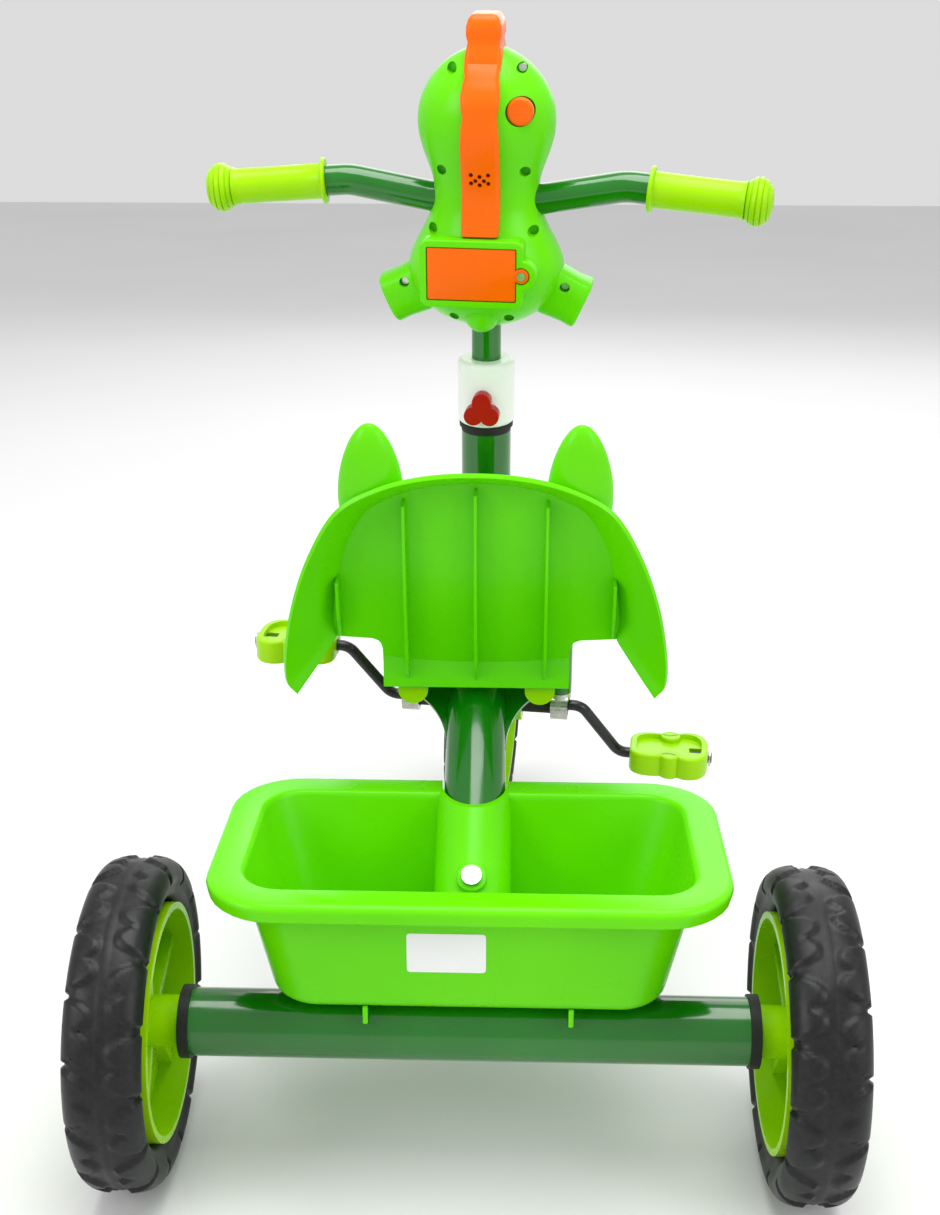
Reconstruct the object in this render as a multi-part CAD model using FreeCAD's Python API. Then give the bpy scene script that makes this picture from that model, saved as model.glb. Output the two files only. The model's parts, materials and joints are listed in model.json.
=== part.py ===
"""Children's tricycle: steel frame, moulded seat and basket, pedals on the front wheel.

Millimetres.  +Y is forward, +X the rider's right, +Z up, and the floor is z = 0.
The origin is on the floor under the middle of the tricycle's length.
"""
import FreeCAD, Part
import math
import os

V = FreeCAD.Vector
X_AXIS = V(1, 0, 0)
Y_AXIS = V(0, 1, 0)
Z_AXIS = V(0, 0, 1)

# ---------------------------------------------------------------- driving sizes
# wheels
WHEELBASE = 450.0
REAR_R = 95.0
REAR_WIDTH = 43.0
REAR_RIM_R = 68.0
REAR_TRACK = 386.0             # between the middles of the rear tyres
FRONT_R = 115.0
FRONT_WIDTH = 40.0
FRONT_RIM_R = 85.0
TYRE_SHOULDER = 12.0
HUB_RIM_WALL = 4.0
HUB_WEB = 3.5
HUB_RIB_HALF = 10.0            # ribs stand this far out from the wheel's middle
HUB_RIB_WALL = 5.0
HUB_RIBS = 5
HUB_LIP_SETBACK = 1.0
REAR_BOSS_SETBACK = 12.0       # the boss ends this far inside the tyre's outer face
REAR_CAP_MARGIN = 9.0
REAR_CAP_WALL = 1.6
FRONT_BOSS_R = 15.0
JOIN = 1.0                     # how far one moulded feature reaches into another
RUNNING_CLEARANCE = 0.05       # radial gap of a turning fit
LOOSE_CLEARANCE = 0.4          # gap between parts that pass each other

# steering
STEER_TILT = 7.5               # degrees that the steering axis leans back
STEER_REST = 6.0               # degrees that the bars stand to the right at rest
FRAME_TUBE_D = 38.0
FRAME_TUBE_WALL = 1.5
HEAD_BOTTOM = 165.0            # along the steering axis, from the front axle
HEAD_TOP = 240.0
CROWN_LEVEL = 143.0
FORK_TUBE_D = 19.0
FORK_TUBE_WALL = 1.4
FORK_HALF_SPREAD = 62.0
FORK_BEND_R = 34.0
STEM_CLEARANCE = 0.1            # radial, the stem slides in the steerer
STEERER_WALL = 1.6
COLLAR_D = 43.0
COLLAR_HEIGHT = 50.0
SEAL_HEIGHT = 3.0
SEAL_GAP = 0.5
SEAL_PROUD = 1.5
HEAD_FLANGE = 3.0              # flange of a head bush
HEAD_BUSH_DEPTH = 14.0
RACE_R = 18.0
RACE_GAP = 1.5                 # between the crown race and the lower bush
STEERER_SHORT = 7.5            # the steerer ends this far below the collar's top
KNOB_R = 14.5
KNOB_DEPTH = 9.0
KNOB_BOLT_D = 6.0
KNOB_CORE_R = 6.0
KNOB_LOBE_OUT = 7.0
KNOB_GAP = 0.6                 # between the collar and the knob
KNOB_RISE = 17.0               # from the collar's foot to the knob's axis

# handlebar
BAR_D = 22.0
BAR_WALL = 1.5
BAR_LEVEL = 416.0              # along the steering axis
BAR_HALF_LENGTH = 200.0
BAR_FLAT = 40.0                # half-length of the straight middle
BAR_RISE = 11.0
BAR_RISE_AT = 100.0
BAR_END_RISE = 4.0
BAR_SWEEP = 12.0
STEM_BOTTOM = 200.0
GRIP_LENGTH = 88.0
GRIP_D = 25.5
GRIP_FLANGE_D = 33.0
GRIP_BALL_D = 35.0
GRIP_END_WALL = 4.0
GRIP_FLANGE = 3.0
GRIP_BALL_SETBACK = 13.0
BAR_BEND_R = 45.0

# crank and pedals
CRANK_D = 9.0
CRANK_THROW = 51.0
CRANK_PHASE = -14.0            # degrees, the left pedal above and a little behind
CRANK_OUT = 190.0
CRANK_BEND_IN = 80.0
CRANK_BEND_OUT = 112.0
CRANK_BEND_R = 13.0
BUSH_R = 9.0
BUSH_WIDTH = 14.0
FORK_END_WALL = 3.5
FORK_END_FOOT = 4.0            # the fork's legs start this far above the axle
FORK_PLUG = 20.0
SPACER_R = 8.0
RETAINER_R = 7.0
RETAINER_WIDTH = 1.6
FRONT_BOSS_LENGTH = 62.0
PEDAL_MID = 154.0
PEDAL_WIDTH = 66.0
PEDAL_LENGTH = 60.0
PEDAL_THICKNESS = 20.0
PEDAL_WALL = 2.5
PEDAL_CORNER = 14.0
PEDAL_FLOOR = 3.0
PEDAL_RIB = 2.4
PEDAL_SLEEVE_R = 8.0

# rear axle
AXLE_TUBE_D = 39.0
AXLE_TUBE_SHORT = 33.0         # from the middle of a rear tyre to the tube's end
AXLE_ROD_D = 10.0
AXLE_CAP_FLANGE = 6.0
AXLE_CAP_PLUG = 18.0
AXLE_CAP_PROUD = 1.5
WASHER_R = 10.0
WASHER_THICKNESS = 1.5
NUT_R = 9.0
NUT_HEIGHT = 5.5
REAR_BOSS_R = 15.0

# frame
TUBE_ANGLE = 40.4              # degrees, rise of the main tube from the rear axle
BEND_Y = 160.0                 # where the main tube bends, from the rear axle
HEAD_JOIN = 187.0              # along the steering axis
RAIL_D = 19.0
RAIL_WALL = 1.4
RAIL_X = 40.0
RAIL_Z = 246.0
RAIL_REAR = 147.0
RAIL_FRONT = 300.0
GUSSET_THICKNESS = 3.0
GUSSET_AT = 134.0              # ahead of the rear axle, along the main tube
GUSSET_LENGTH = 54.0
GUSSET_SPREAD_AT = 44.0        # where its wings reach the rails
GUSSET_CURVE = (26.0, 7.0)     # a point of the wing's curve: along the tube, out from it
MAIN_BEND_R = 60.0
STRAP_REAR = 276.0
STRAP_THICKNESS = 4.0
PLUG_DEPTH = 12.0
PLUG_HEAD = 2.5

# seat
SEAT_WALL = 2.8
SEAT_LEAN = 12.5
SEAT_CREASE_Y = 140.0
SEAT_CREASE_Z = 285.0
SEAT_FLANGE = 26.0
SEAT_BACK_HEIGHT = 124.0
SEAT_BACK_HALF = 118.0
SEAT_PAN_FRONT = 318.0
SEAT_PAN_RISE = 8.0
SEAT_PAN_HALF = 100.0
SEAT_TONGUE_HALF = 58.0
SEAT_RIB = 2.2
SEAT_RIBS = (-84.0, -42.5, 0.0, 42.5, 84.0)
EAR_X = 61.0
EAR_R = 19.0
EAR_DEPTH = 13.0
EAR_RISE = 24.0
EAR_LEVEL = 76.0
SEAT_BOSS_R = 8.0
SEAT_SCREW_D = 6.0
SEAT_SCREW_Y = (178.0, 272.0)

# basket
BASKET_RIM_Z = 195.0
BASKET_BOTTOM_Z = 117.0
BASKET_REAR = -20.0            # outer face of the rear wall at the bottom
BASKET_DEPTH_BOTTOM = 112.0
BASKET_TYRE_GAP = 23.5
BASKET_TAPER_X = 18.0
BASKET_TAPER_Y = 4.0
BASKET_RIM_WIDTH = 19.0
BASKET_RIM_DROP = 11.0
BASKET_WALL = 2.6
BASKET_CORNER = 26.0
CHANNEL_CLEARANCE = 1.5
BASKET_TAB_X = 58.0
BASKET_TAB_WALL = 3.0
BASKET_TAB_DROP = 9.0
BASKET_SCREW_AT = 62.0         # ahead of the rear axle, along the main tube
BASKET_BOSS_R = 9.0
BASKET_BOSS_HEIGHT = 7.0
BASKET_SCREW_HEAD = (6.0, 3.0)  # radius and height

# figure on the handlebar
FIGURE_WALL = 2.5
FIGURE_BOTTOM = -92.0          # from the bar's level, along the steering axis
FIGURE_TOP = 106.0
FIGURE_FLATNESS = 0.84         # depth as a share of width
FIGURE_OUTLINE = (             # level, half-width
    (-84.0, 34.0), (-68.0, 53.0), (-46.0, 57.0), (-20.0, 46.0), (2.0, 38.0), (18.0, 39.0),
    (38.0, 46.5), (58.0, 49.0), (80.0, 42.0), (98.0, 24.0))
FIGURE_POLE_R = 8.0            # flat disc at the figure's very top and bottom
ARM_LEVEL = -58.0
ARM_ROOT_R = 25.0
ARM_TIP_R = 21.0
ARM_FROM = 8.0
ARM_LENGTH = 64.0
ARM_DROP = 0.12                # slope of the arms, down over out
ARM_DEPTH = 21.0
ARM_SCREW_FROM = 50.0
SNOUT_LEVEL = 42.0
CREST_WIDTH = 27.0
CREST_TOP = 127.0
CREST_PROUD = 6.0
CREST_FOOT_DEPTH = 40.0
CREST_HORN_DEPTH = 24.0
CREST_FRONT_DEPTH = 16.0
DOOR_SIZE = (64.0, 38.0)
DOOR_CENTRE = (-5.0, -44.0)
DOOR_THICKNESS = 2.4
DOOR_GAP = 0.5
DOOR_FRAME = 5.0               # width of the raised frame round the door
DOOR_LUG = 16.0                # the frame's width on the side of the door's screw
BATTERY_D = 14.2
BATTERY_LENGTH = 50.0
BUTTON_R = 9.5
BUTTON_X = 27.0
BUTTON_LEVEL = 66.0
BUTTON_TRAVEL = 2.0
SPEAKER_R = 14.0
SPEAKER_LEVEL = 23.0

# ---------------------------------------------------------------- derived places
STEERER_D = BAR_D + 2 * (STEM_CLEARANCE + STEERER_WALL)
AXLE_TUBE_HALF = REAR_TRACK / 2 - AXLE_TUBE_SHORT
BASKET_HALF_TOP = REAR_TRACK / 2 - REAR_WIDTH / 2 - BASKET_TYRE_GAP - BASKET_RIM_WIDTH
BASKET_HALF_BOTTOM = BASKET_HALF_TOP - BASKET_TAPER_X
SEAL_FOOT = HEAD_TOP + HEAD_FLANGE + SEAL_GAP
COLLAR_FOOT = SEAL_FOOT + SEAL_HEIGHT
CREST_BOTTOM = DOOR_CENTRE[1] + DOOR_SIZE[1] / 2 + DOOR_FRAME + LOOSE_CLEARANCE
REAR_AXLE_Y = -(WHEELBASE + FRONT_R - REAR_R) / 2.0
FRONT_AXLE = V(0, REAR_AXLE_Y + WHEELBASE, FRONT_R)
REAR_AXLE = V(0, REAR_AXLE_Y, REAR_R)
TILT = math.radians(STEER_TILT)
STEER_AXIS = V(0, -math.sin(TILT), math.cos(TILT))


def from_rear(y):
    """Y in this model of a point y ahead of the rear axle."""
    return REAR_AXLE_Y + y


# ---------------------------------------------------------------- shape helpers
def box(low, high):
    """Box between two corners."""
    size = [high[i] - low[i] for i in range(3)]
    return Part.makeBox(size[0], size[1], size[2], V(*low))


def rod(radius, start, end):
    """Solid round bar from start to end."""
    along = end - start
    return Part.makeCylinder(radius, along.Length, start, along)


def pipe(outer_d, wall, start, end):
    """Straight round tube from start to end."""
    return rod(outer_d / 2, start, end).cut(rod(outer_d / 2 - wall, start, end))


def mirrored(shape):
    """The same piece on the other side of the tricycle."""
    return shape.mirror(V(0, 0, 0), X_AXIS)


def pair(shape):
    """A left and a right copy as separate solids."""
    return Part.makeCompound([mirrored(shape), shape])


def bent_path(points, radius):
    """Straight runs through the points, joined by tangent arcs of one radius."""
    edges = []
    here = points[0]
    for before, corner, after in zip(points, points[1:], points[2:]):
        inward = (before - corner).normalize()
        onward = (after - corner).normalize()
        half_angle = inward.getAngle(onward) / 2
        reach = radius / math.tan(half_angle)
        arc_start = corner + inward * reach
        arc_end = corner + onward * reach
        bisector = (inward + onward).normalize()
        middle = corner + bisector * (radius / math.sin(half_angle) - radius)
        edges.append(Part.LineSegment(here, arc_start).toShape())
        edges.append(Part.Arc(arc_start, middle, arc_end).toShape())
        here = arc_end
    edges.append(Part.LineSegment(here, points[-1]).toShape())
    return Part.Wire(edges)


def bent_rod(points, bend_radius, radius):
    """Round bar bent through the points."""
    path = bent_path(points, bend_radius)
    direction = points[1] - points[0]
    circle = Part.Wire([Part.makeCircle(radius, points[0], direction)])
    return path.makePipeShell([circle], True, False)


def bent_tube(points, bend_radius, outer_d, wall):
    """Round tube bent through the points."""
    outer = bent_rod(points, bend_radius, outer_d / 2)
    return outer.cut(bent_rod(points, bend_radius, outer_d / 2 - wall))


def revolved(profile, centre=V(0, 0, 0)):
    """Ring about the X axis through centre, from (x, radius) points."""
    corners = [V(x, 0, radius) for x, radius in profile]
    face = Part.Face(Part.makePolygon(corners + [corners[0]]))
    ring = face.revolve(V(0, 0, 0), X_AXIS, 360)
    ring.translate(centre)
    return ring


def ellipsoid(half_x, half_y, half_z, centre):
    """Closed ellipsoid with the three half-sizes."""
    ball = Part.makeSphere(1.0)
    matrix = FreeCAD.Matrix()
    matrix.scale(half_x, half_y, half_z)
    ball = ball.transformGeometry(matrix)
    ball.translate(centre)
    return ball


def rounded_block(low, high, radius):
    """Box with its four upright edges rounded."""
    block = box(low, high)
    upright = [e for e in block.Edges if abs(e.tangentAt(e.FirstParameter).z) > 0.99]
    return block.makeFillet(radius, upright)


def tilted(shape):
    """From upright steering coordinates (origin on the front axle) to the tricycle."""
    placed = shape.copy()
    placed.rotate(V(0, 0, 0), X_AXIS, STEER_TILT)
    placed.translate(FRONT_AXLE)
    return placed


def steered(shape):
    """Tilted as the head tube is, then turned to where the bars stand at rest."""
    placed = tilted(shape)
    placed.rotate(FRONT_AXLE, STEER_AXIS, -STEER_REST)
    return placed


# ---------------------------------------------------------------- wheels
def tyre(radius, rim_radius, width, centre):
    """Foam tyre with rounded shoulders and a shallow middle seam."""
    half = width / 2
    profile = [(-half, rim_radius), (half, rim_radius)]
    for step in range(5):
        angle = math.radians(90 * step / 4)
        profile.append((half - TYRE_SHOULDER * (1 - math.cos(angle)),
                        radius - TYRE_SHOULDER * (1 - math.sin(angle))))
    profile += [(-x, r) for x, r in reversed(profile[2:])]
    return revolved(profile, centre)


def hub(rim_radius, width, boss_radius, boss_span, bore_radius, centre):
    """Moulded wheel: rim, web, boss on the axle and ribs on both faces."""
    half = width / 2
    rim_inner = rim_radius - HUB_RIM_WALL
    web_half = HUB_WEB / 2
    lip_half = half - HUB_LIP_SETBACK
    shape = revolved([(-lip_half, rim_inner), (lip_half, rim_inner),
                      (lip_half, rim_radius), (-lip_half, rim_radius)])
    shape = shape.fuse(revolved([(-web_half, boss_radius - JOIN), (web_half, boss_radius - JOIN),
                                 (web_half, rim_inner + JOIN), (-web_half, rim_inner + JOIN)]))
    boss_low, boss_high = boss_span
    shape = shape.fuse(rod(boss_radius, V(boss_low, 0, 0), V(boss_high, 0, 0)))
    for number in range(HUB_RIBS):
        rib = box((-HUB_RIB_HALF, -HUB_RIB_WALL / 2, boss_radius - JOIN),
                  (HUB_RIB_HALF, HUB_RIB_WALL / 2, rim_inner + JOIN))
        rib.rotate(V(0, 0, 0), X_AXIS, 360 / HUB_RIBS * number)
        shape = shape.fuse(rib)
    shape = shape.cut(rod(bore_radius, V(boss_low - 1, 0, 0), V(boss_high + 1, 0, 0)))
    shape.translate(centre)
    return shape


def rear_wheel_parts():
    """Tyre, hub and outer cap of the right-hand rear wheel."""
    middle = REAR_TRACK / 2
    centre = REAR_AXLE + V(middle, 0, 0)
    boss_start = AXLE_TUBE_HALF + AXLE_CAP_FLANGE + LOOSE_CLEARANCE - middle
    boss_end = REAR_WIDTH / 2 - REAR_BOSS_SETBACK
    wheel = hub(REAR_RIM_R, REAR_WIDTH, REAR_BOSS_R, (boss_start, boss_end),
                AXLE_ROD_D / 2 + RUNNING_CLEARANCE, centre)
    cap_r = REAR_BOSS_R + REAR_CAP_MARGIN
    cap_end = REAR_WIDTH / 2 - HUB_LIP_SETBACK
    cap = revolved([(boss_end - 8, REAR_BOSS_R), (boss_end - 8, cap_r), (cap_end - 2, cap_r),
                    (cap_end, cap_r - 3), (cap_end, 0), (cap_end - REAR_CAP_WALL, 0),
                    (cap_end - REAR_CAP_WALL, cap_r - 4), (boss_end, cap_r - 4), (boss_end, REAR_BOSS_R)])
    cap.translate(centre)
    ribs_room = rod(cap_r + 0.2, centre + V(boss_end - 8, 0, 0), centre + V(cap_end + 1, 0, 0))
    sleeve = rod(REAR_BOSS_R, centre + V(boss_start, 0, 0), centre + V(boss_end, 0, 0))
    wheel = wheel.cut(ribs_room.cut(sleeve))
    return {
        "rear_tyre": tyre(REAR_R, REAR_RIM_R, REAR_WIDTH, centre),
        "rear_hub": wheel,
        "rear_hub_cap": cap,
    }


def axle_parts():
    """Fixed rod through the rear tube, its end bushes, washers and cap nuts."""
    middle = REAR_TRACK / 2
    washer_start = middle + REAR_WIDTH / 2 - REAR_BOSS_SETBACK + LOOSE_CLEARANCE
    washer_end = washer_start + WASHER_THICKNESS
    nut_end = washer_end + NUT_HEIGHT
    rod_end = nut_end - 1.5
    rod_r = AXLE_ROD_D / 2
    bush_r = AXLE_TUBE_D / 2 - FRAME_TUBE_WALL
    flange_start = AXLE_TUBE_HALF
    bush = rod(bush_r, REAR_AXLE + V(flange_start - AXLE_CAP_PLUG, 0, 0),
               REAR_AXLE + V(flange_start, 0, 0))
    bush = bush.fuse(rod(AXLE_TUBE_D / 2 + AXLE_CAP_PROUD, REAR_AXLE + V(flange_start, 0, 0),
                         REAR_AXLE + V(flange_start + AXLE_CAP_FLANGE, 0, 0)))
    through = rod(rod_r, REAR_AXLE - V(rod_end, 0, 0), REAR_AXLE + V(rod_end, 0, 0))
    bush = bush.cut(through)
    washer = rod(WASHER_R, REAR_AXLE + V(washer_start, 0, 0), REAR_AXLE + V(washer_end, 0, 0))
    nut = Part.Face(Part.makePolygon([
        REAR_AXLE + V(washer_end, NUT_R * math.cos(math.radians(60 * k)),
                      NUT_R * math.sin(math.radians(60 * k))) for k in range(7)]))
    nut = nut.extrude(V(nut_end - washer_end, 0, 0))
    return {
        "rear_axle_rod": through,
        "rear_axle_bushes": pair(bush),
        "rear_axle_washers": pair(washer.cut(through)),
        "rear_axle_nuts": pair(nut.cut(through)),
    }


def crank_points():
    """Corners of the crank rod, in upright steering coordinates."""
    swing = math.radians(CRANK_PHASE)
    up = V(0, CRANK_THROW * math.sin(swing), CRANK_THROW * math.cos(swing))
    return [V(-CRANK_OUT, 0, 0) + up, V(-CRANK_BEND_OUT, 0, 0) + up,
            V(-CRANK_BEND_IN, 0, 0), V(CRANK_BEND_IN, 0, 0),
            V(CRANK_BEND_OUT, 0, 0) - up, V(CRANK_OUT, 0, 0) - up]


def pedal_shape():
    """Open moulded pedal about a sleeve on the X axis, centred on the origin."""
    half_x = PEDAL_WIDTH / 2
    half_y = PEDAL_LENGTH / 2
    half_z = PEDAL_THICKNESS / 2
    outer = rounded_block((-half_x, -half_y, -half_z), (half_x, half_y, half_z), PEDAL_CORNER)
    inner = rounded_block((-half_x + PEDAL_WALL, -half_y + PEDAL_WALL, -half_z - 1),
                          (half_x - PEDAL_WALL, half_y - PEDAL_WALL, half_z + 1), PEDAL_CORNER - PEDAL_WALL)
    shape = outer.cut(inner)
    floor = rounded_block((-half_x + JOIN, -half_y + JOIN, -PEDAL_FLOOR / 2),
                          (half_x - JOIN, half_y - JOIN, PEDAL_FLOOR / 2), PEDAL_CORNER - JOIN)
    shape = shape.fuse(floor)
    for x in (-half_x / 2, 0.0, half_x / 2):
        shape = shape.fuse(box((x - PEDAL_RIB / 2, -half_y + JOIN, -half_z + 1),
                               (x + PEDAL_RIB / 2, half_y - JOIN, half_z - 1)))
    sleeve_half = half_x - PEDAL_WALL
    shape = shape.fuse(rod(PEDAL_SLEEVE_R, V(-sleeve_half, 0, 0), V(sleeve_half, 0, 0)))
    return shape.cut(rod(CRANK_D / 2 + RUNNING_CLEARANCE, V(-half_x - 1, 0, 0), V(half_x + 1, 0, 0)))


def front_wheel_parts():
    """Front wheel with the crank fixed through its hub, the pedals and what holds them."""
    points = crank_points()
    crank = bent_rod(points, CRANK_BEND_R, CRANK_D / 2)
    left_spindle, right_spindle = points[0], points[-1]
    half_boss = FRONT_BOSS_LENGTH / 2
    wheel = hub(FRONT_RIM_R, FRONT_WIDTH, FRONT_BOSS_R, (-half_boss, half_boss), CRANK_D / 2, V(0, 0, 0))
    spacer_end = FORK_HALF_SPREAD - BUSH_WIDTH / 2 - LOOSE_CLEARANCE
    spacer = rod(SPACER_R, V(half_boss, 0, 0), V(spacer_end, 0, 0))
    spacer = spacer.cut(rod(CRANK_D / 2, V(0, 0, 0), V(FORK_HALF_SPREAD, 0, 0)))
    retainers = []
    for side, spindle in ((-1, left_spindle), (1, right_spindle)):
        at = V(0, spindle.y, spindle.z)
        start = side * (PEDAL_MID + PEDAL_WIDTH / 2 + LOOSE_CLEARANCE)
        ring = rod(RETAINER_R, at + V(start, 0, 0), at + V(start + side * RETAINER_WIDTH, 0, 0))
        retainers.append(ring.cut(rod(CRANK_D / 2, at, at + V(start + side * 9, 0, 0))))
    parts = {
        "front_tyre": tyre(FRONT_R, FRONT_RIM_R, FRONT_WIDTH, V(0, 0, 0)),
        "front_hub": wheel,
        "crank_rod": crank,
        "crank_spacers": pair(spacer),
        "pedal_retainers": Part.makeCompound(retainers),
    }
    for side, name, spindle in ((-1, "left_pedal", left_spindle), (1, "right_pedal", right_spindle)):
        pedal = pedal_shape()
        pedal.rotate(V(0, 0, 0), X_AXIS, -STEER_TILT)
        pedal.translate(V(side * PEDAL_MID, spindle.y, spindle.z))
        parts[name] = pedal
    return {name: steered(shape) for name, shape in parts.items()}


# ---------------------------------------------------------------- fork and its clamp
def fork_parts():
    """Inverted-U fork, steerer tube, fork ends with bushes, and the clamp collar."""
    x = FORK_HALF_SPREAD
    leg_end = BUSH_R + FORK_END_WALL + 1.0
    legs = bent_tube([V(-x, 0, leg_end), V(-x, 0, CROWN_LEVEL), V(x, 0, CROWN_LEVEL),
                      V(x, 0, leg_end)], FORK_BEND_R, FORK_TUBE_D, FORK_TUBE_WALL)
    steerer_top = COLLAR_FOOT + COLLAR_HEIGHT - STEERER_SHORT
    steerer = pipe(STEERER_D, STEERER_WALL, V(0, 0, CROWN_LEVEL), V(0, 0, steerer_top))
    crown_bar = rod(FORK_TUBE_D / 2, V(-40, 0, CROWN_LEVEL), V(40, 0, CROWN_LEVEL))
    steerer = steerer.cut(crown_bar)
    crown_race = rod(RACE_R, V(0, 0, CROWN_LEVEL + FORK_TUBE_D / 2),
                     V(0, 0, HEAD_BOTTOM - HEAD_FLANGE - RACE_GAP))
    crown_race = crown_race.cut(rod(STEERER_D / 2, V(0, 0, 0), V(0, 0, HEAD_TOP)))
    ring = rod(BUSH_R + FORK_END_WALL, V(x - BUSH_WIDTH / 2, 0, 0), V(x + BUSH_WIDTH / 2, 0, 0))
    plug = rod(FORK_TUBE_D / 2 - FORK_TUBE_WALL, V(x, 0, FORK_END_FOOT), V(x, 0, leg_end + FORK_PLUG))
    collar_step = rod(FORK_TUBE_D / 2, V(x, 0, FORK_END_FOOT), V(x, 0, leg_end))
    bush_seat = rod(BUSH_R, V(x - BUSH_WIDTH, 0, 0), V(x + BUSH_WIDTH, 0, 0))
    fork_end = ring.fuse(plug).fuse(collar_step).cut(bush_seat)
    bush = rod(BUSH_R, V(x - BUSH_WIDTH / 2, 0, 0), V(x + BUSH_WIDTH / 2, 0, 0))
    bush = bush.cut(rod(CRANK_D / 2 + RUNNING_CLEARANCE, V(x - BUSH_WIDTH, 0, 0),
                        V(x + BUSH_WIDTH, 0, 0)))
    seal = rod(FRAME_TUBE_D / 2 + SEAL_PROUD, V(0, 0, SEAL_FOOT), V(0, 0, COLLAR_FOOT))
    steerer_room = rod(STEERER_D / 2, V(0, 0, 0), V(0, 0, steerer_top))
    stem_room = rod(BAR_D / 2 + RUNNING_CLEARANCE, V(0, 0, 0), V(0, 0, BAR_LEVEL))
    foot = COLLAR_FOOT
    collar = rod(COLLAR_D / 2, V(0, 0, foot), V(0, 0, foot + COLLAR_HEIGHT))
    collar = collar.makeFillet(4.0, [collar.Edges[0], collar.Edges[2]])
    collar = collar.cut(steerer_room).cut(stem_room)
    knob_axis = V(0, 0, foot + KNOB_RISE)
    bolt_hole = rod(KNOB_BOLT_D / 2 + RUNNING_CLEARANCE, knob_axis, knob_axis - V(0, 40, 0))
    parts = {
        "fork_tube": legs,
        "steerer_tube": steerer.cut(bolt_hole),
        "crown_race": crown_race,
        "fork_ends": pair(fork_end),
        "crank_bushes": pair(bush),
        "head_seal": seal.cut(steerer_room),
        "clamp_collar": collar.cut(bolt_hole),
    }
    bolt = rod(KNOB_BOLT_D / 2, knob_axis - V(0, BAR_D / 2 + RUNNING_CLEARANCE, 0),
               knob_axis - V(0, COLLAR_D / 2 + KNOB_DEPTH - 2, 0))
    knob_face = COLLAR_D / 2 + KNOB_GAP
    knob = rod(KNOB_CORE_R, knob_axis - V(0, knob_face, 0), knob_axis - V(0, knob_face + KNOB_DEPTH, 0))
    for angle in (90, 210, 330):
        lobe_at = KNOB_LOBE_OUT * V(math.cos(math.radians(angle)), 0, math.sin(math.radians(angle)))
        start = knob_axis + lobe_at - V(0, knob_face, 0)
        knob = knob.fuse(rod(KNOB_R / 2, start, start - V(0, KNOB_DEPTH, 0)))
    parts["clamp_knob"] = knob.cut(bolt)
    parts["clamp_bolt"] = bolt
    return {name: steered(shape) for name, shape in parts.items()}


# ---------------------------------------------------------------- handlebar
def bar_points():
    """Corners of the handlebar's centre line, in upright steering coordinates."""
    right = [V(BAR_FLAT, 0, BAR_LEVEL), V(BAR_RISE_AT, -2, BAR_LEVEL + BAR_RISE),
             V(BAR_HALF_LENGTH, -BAR_SWEEP, BAR_LEVEL + BAR_END_RISE)]
    left = [V(-p.x, p.y, p.z) for p in reversed(right)]
    return left + right


def handlebar_parts():
    """Stem, bent bar and the two grips."""
    points = bar_points()
    bar = bent_tube(points, BAR_BEND_R, BAR_D, BAR_WALL)
    stem = pipe(BAR_D, BAR_WALL, V(0, 0, STEM_BOTTOM), V(0, 0, BAR_LEVEL))
    stem = stem.cut(rod(BAR_D / 2, points[2], points[3]))
    along = (points[-1] - points[-2]).normalize()
    end = points[-1] + along * GRIP_END_WALL
    start = end - along * GRIP_LENGTH
    grip = rod(GRIP_D / 2, start, end - along * GRIP_END_WALL)
    grip = grip.fuse(rod(GRIP_FLANGE_D / 2, start, start + along * GRIP_FLANGE))
    ball_mid = end - along * GRIP_BALL_SETBACK
    ball = Part.makeSphere(GRIP_BALL_D / 2, ball_mid)
    ball = ball.cut(rod(GRIP_BALL_D, end, end + along * 20))
    grip = grip.fuse(ball)
    grip = grip.cut(rod(BAR_D / 2, start - along * 5, points[-1]))
    parts = {
        "handlebar": bar,
        "stem": stem,
        "right_grip": grip,
        "left_grip": mirrored(grip),
    }
    return {name: steered(shape) for name, shape in parts.items()}


# ---------------------------------------------------------------- frame
def tube_point(y):
    """Centre of the main tube's lower run at a distance ahead of the rear axle."""
    return V(0, from_rear(y), REAR_R + y * math.tan(math.radians(TUBE_ANGLE)))


def head_point(level):
    """Point of the steering axis at a level above the front axle."""
    return FRONT_AXLE + STEER_AXIS * level


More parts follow.
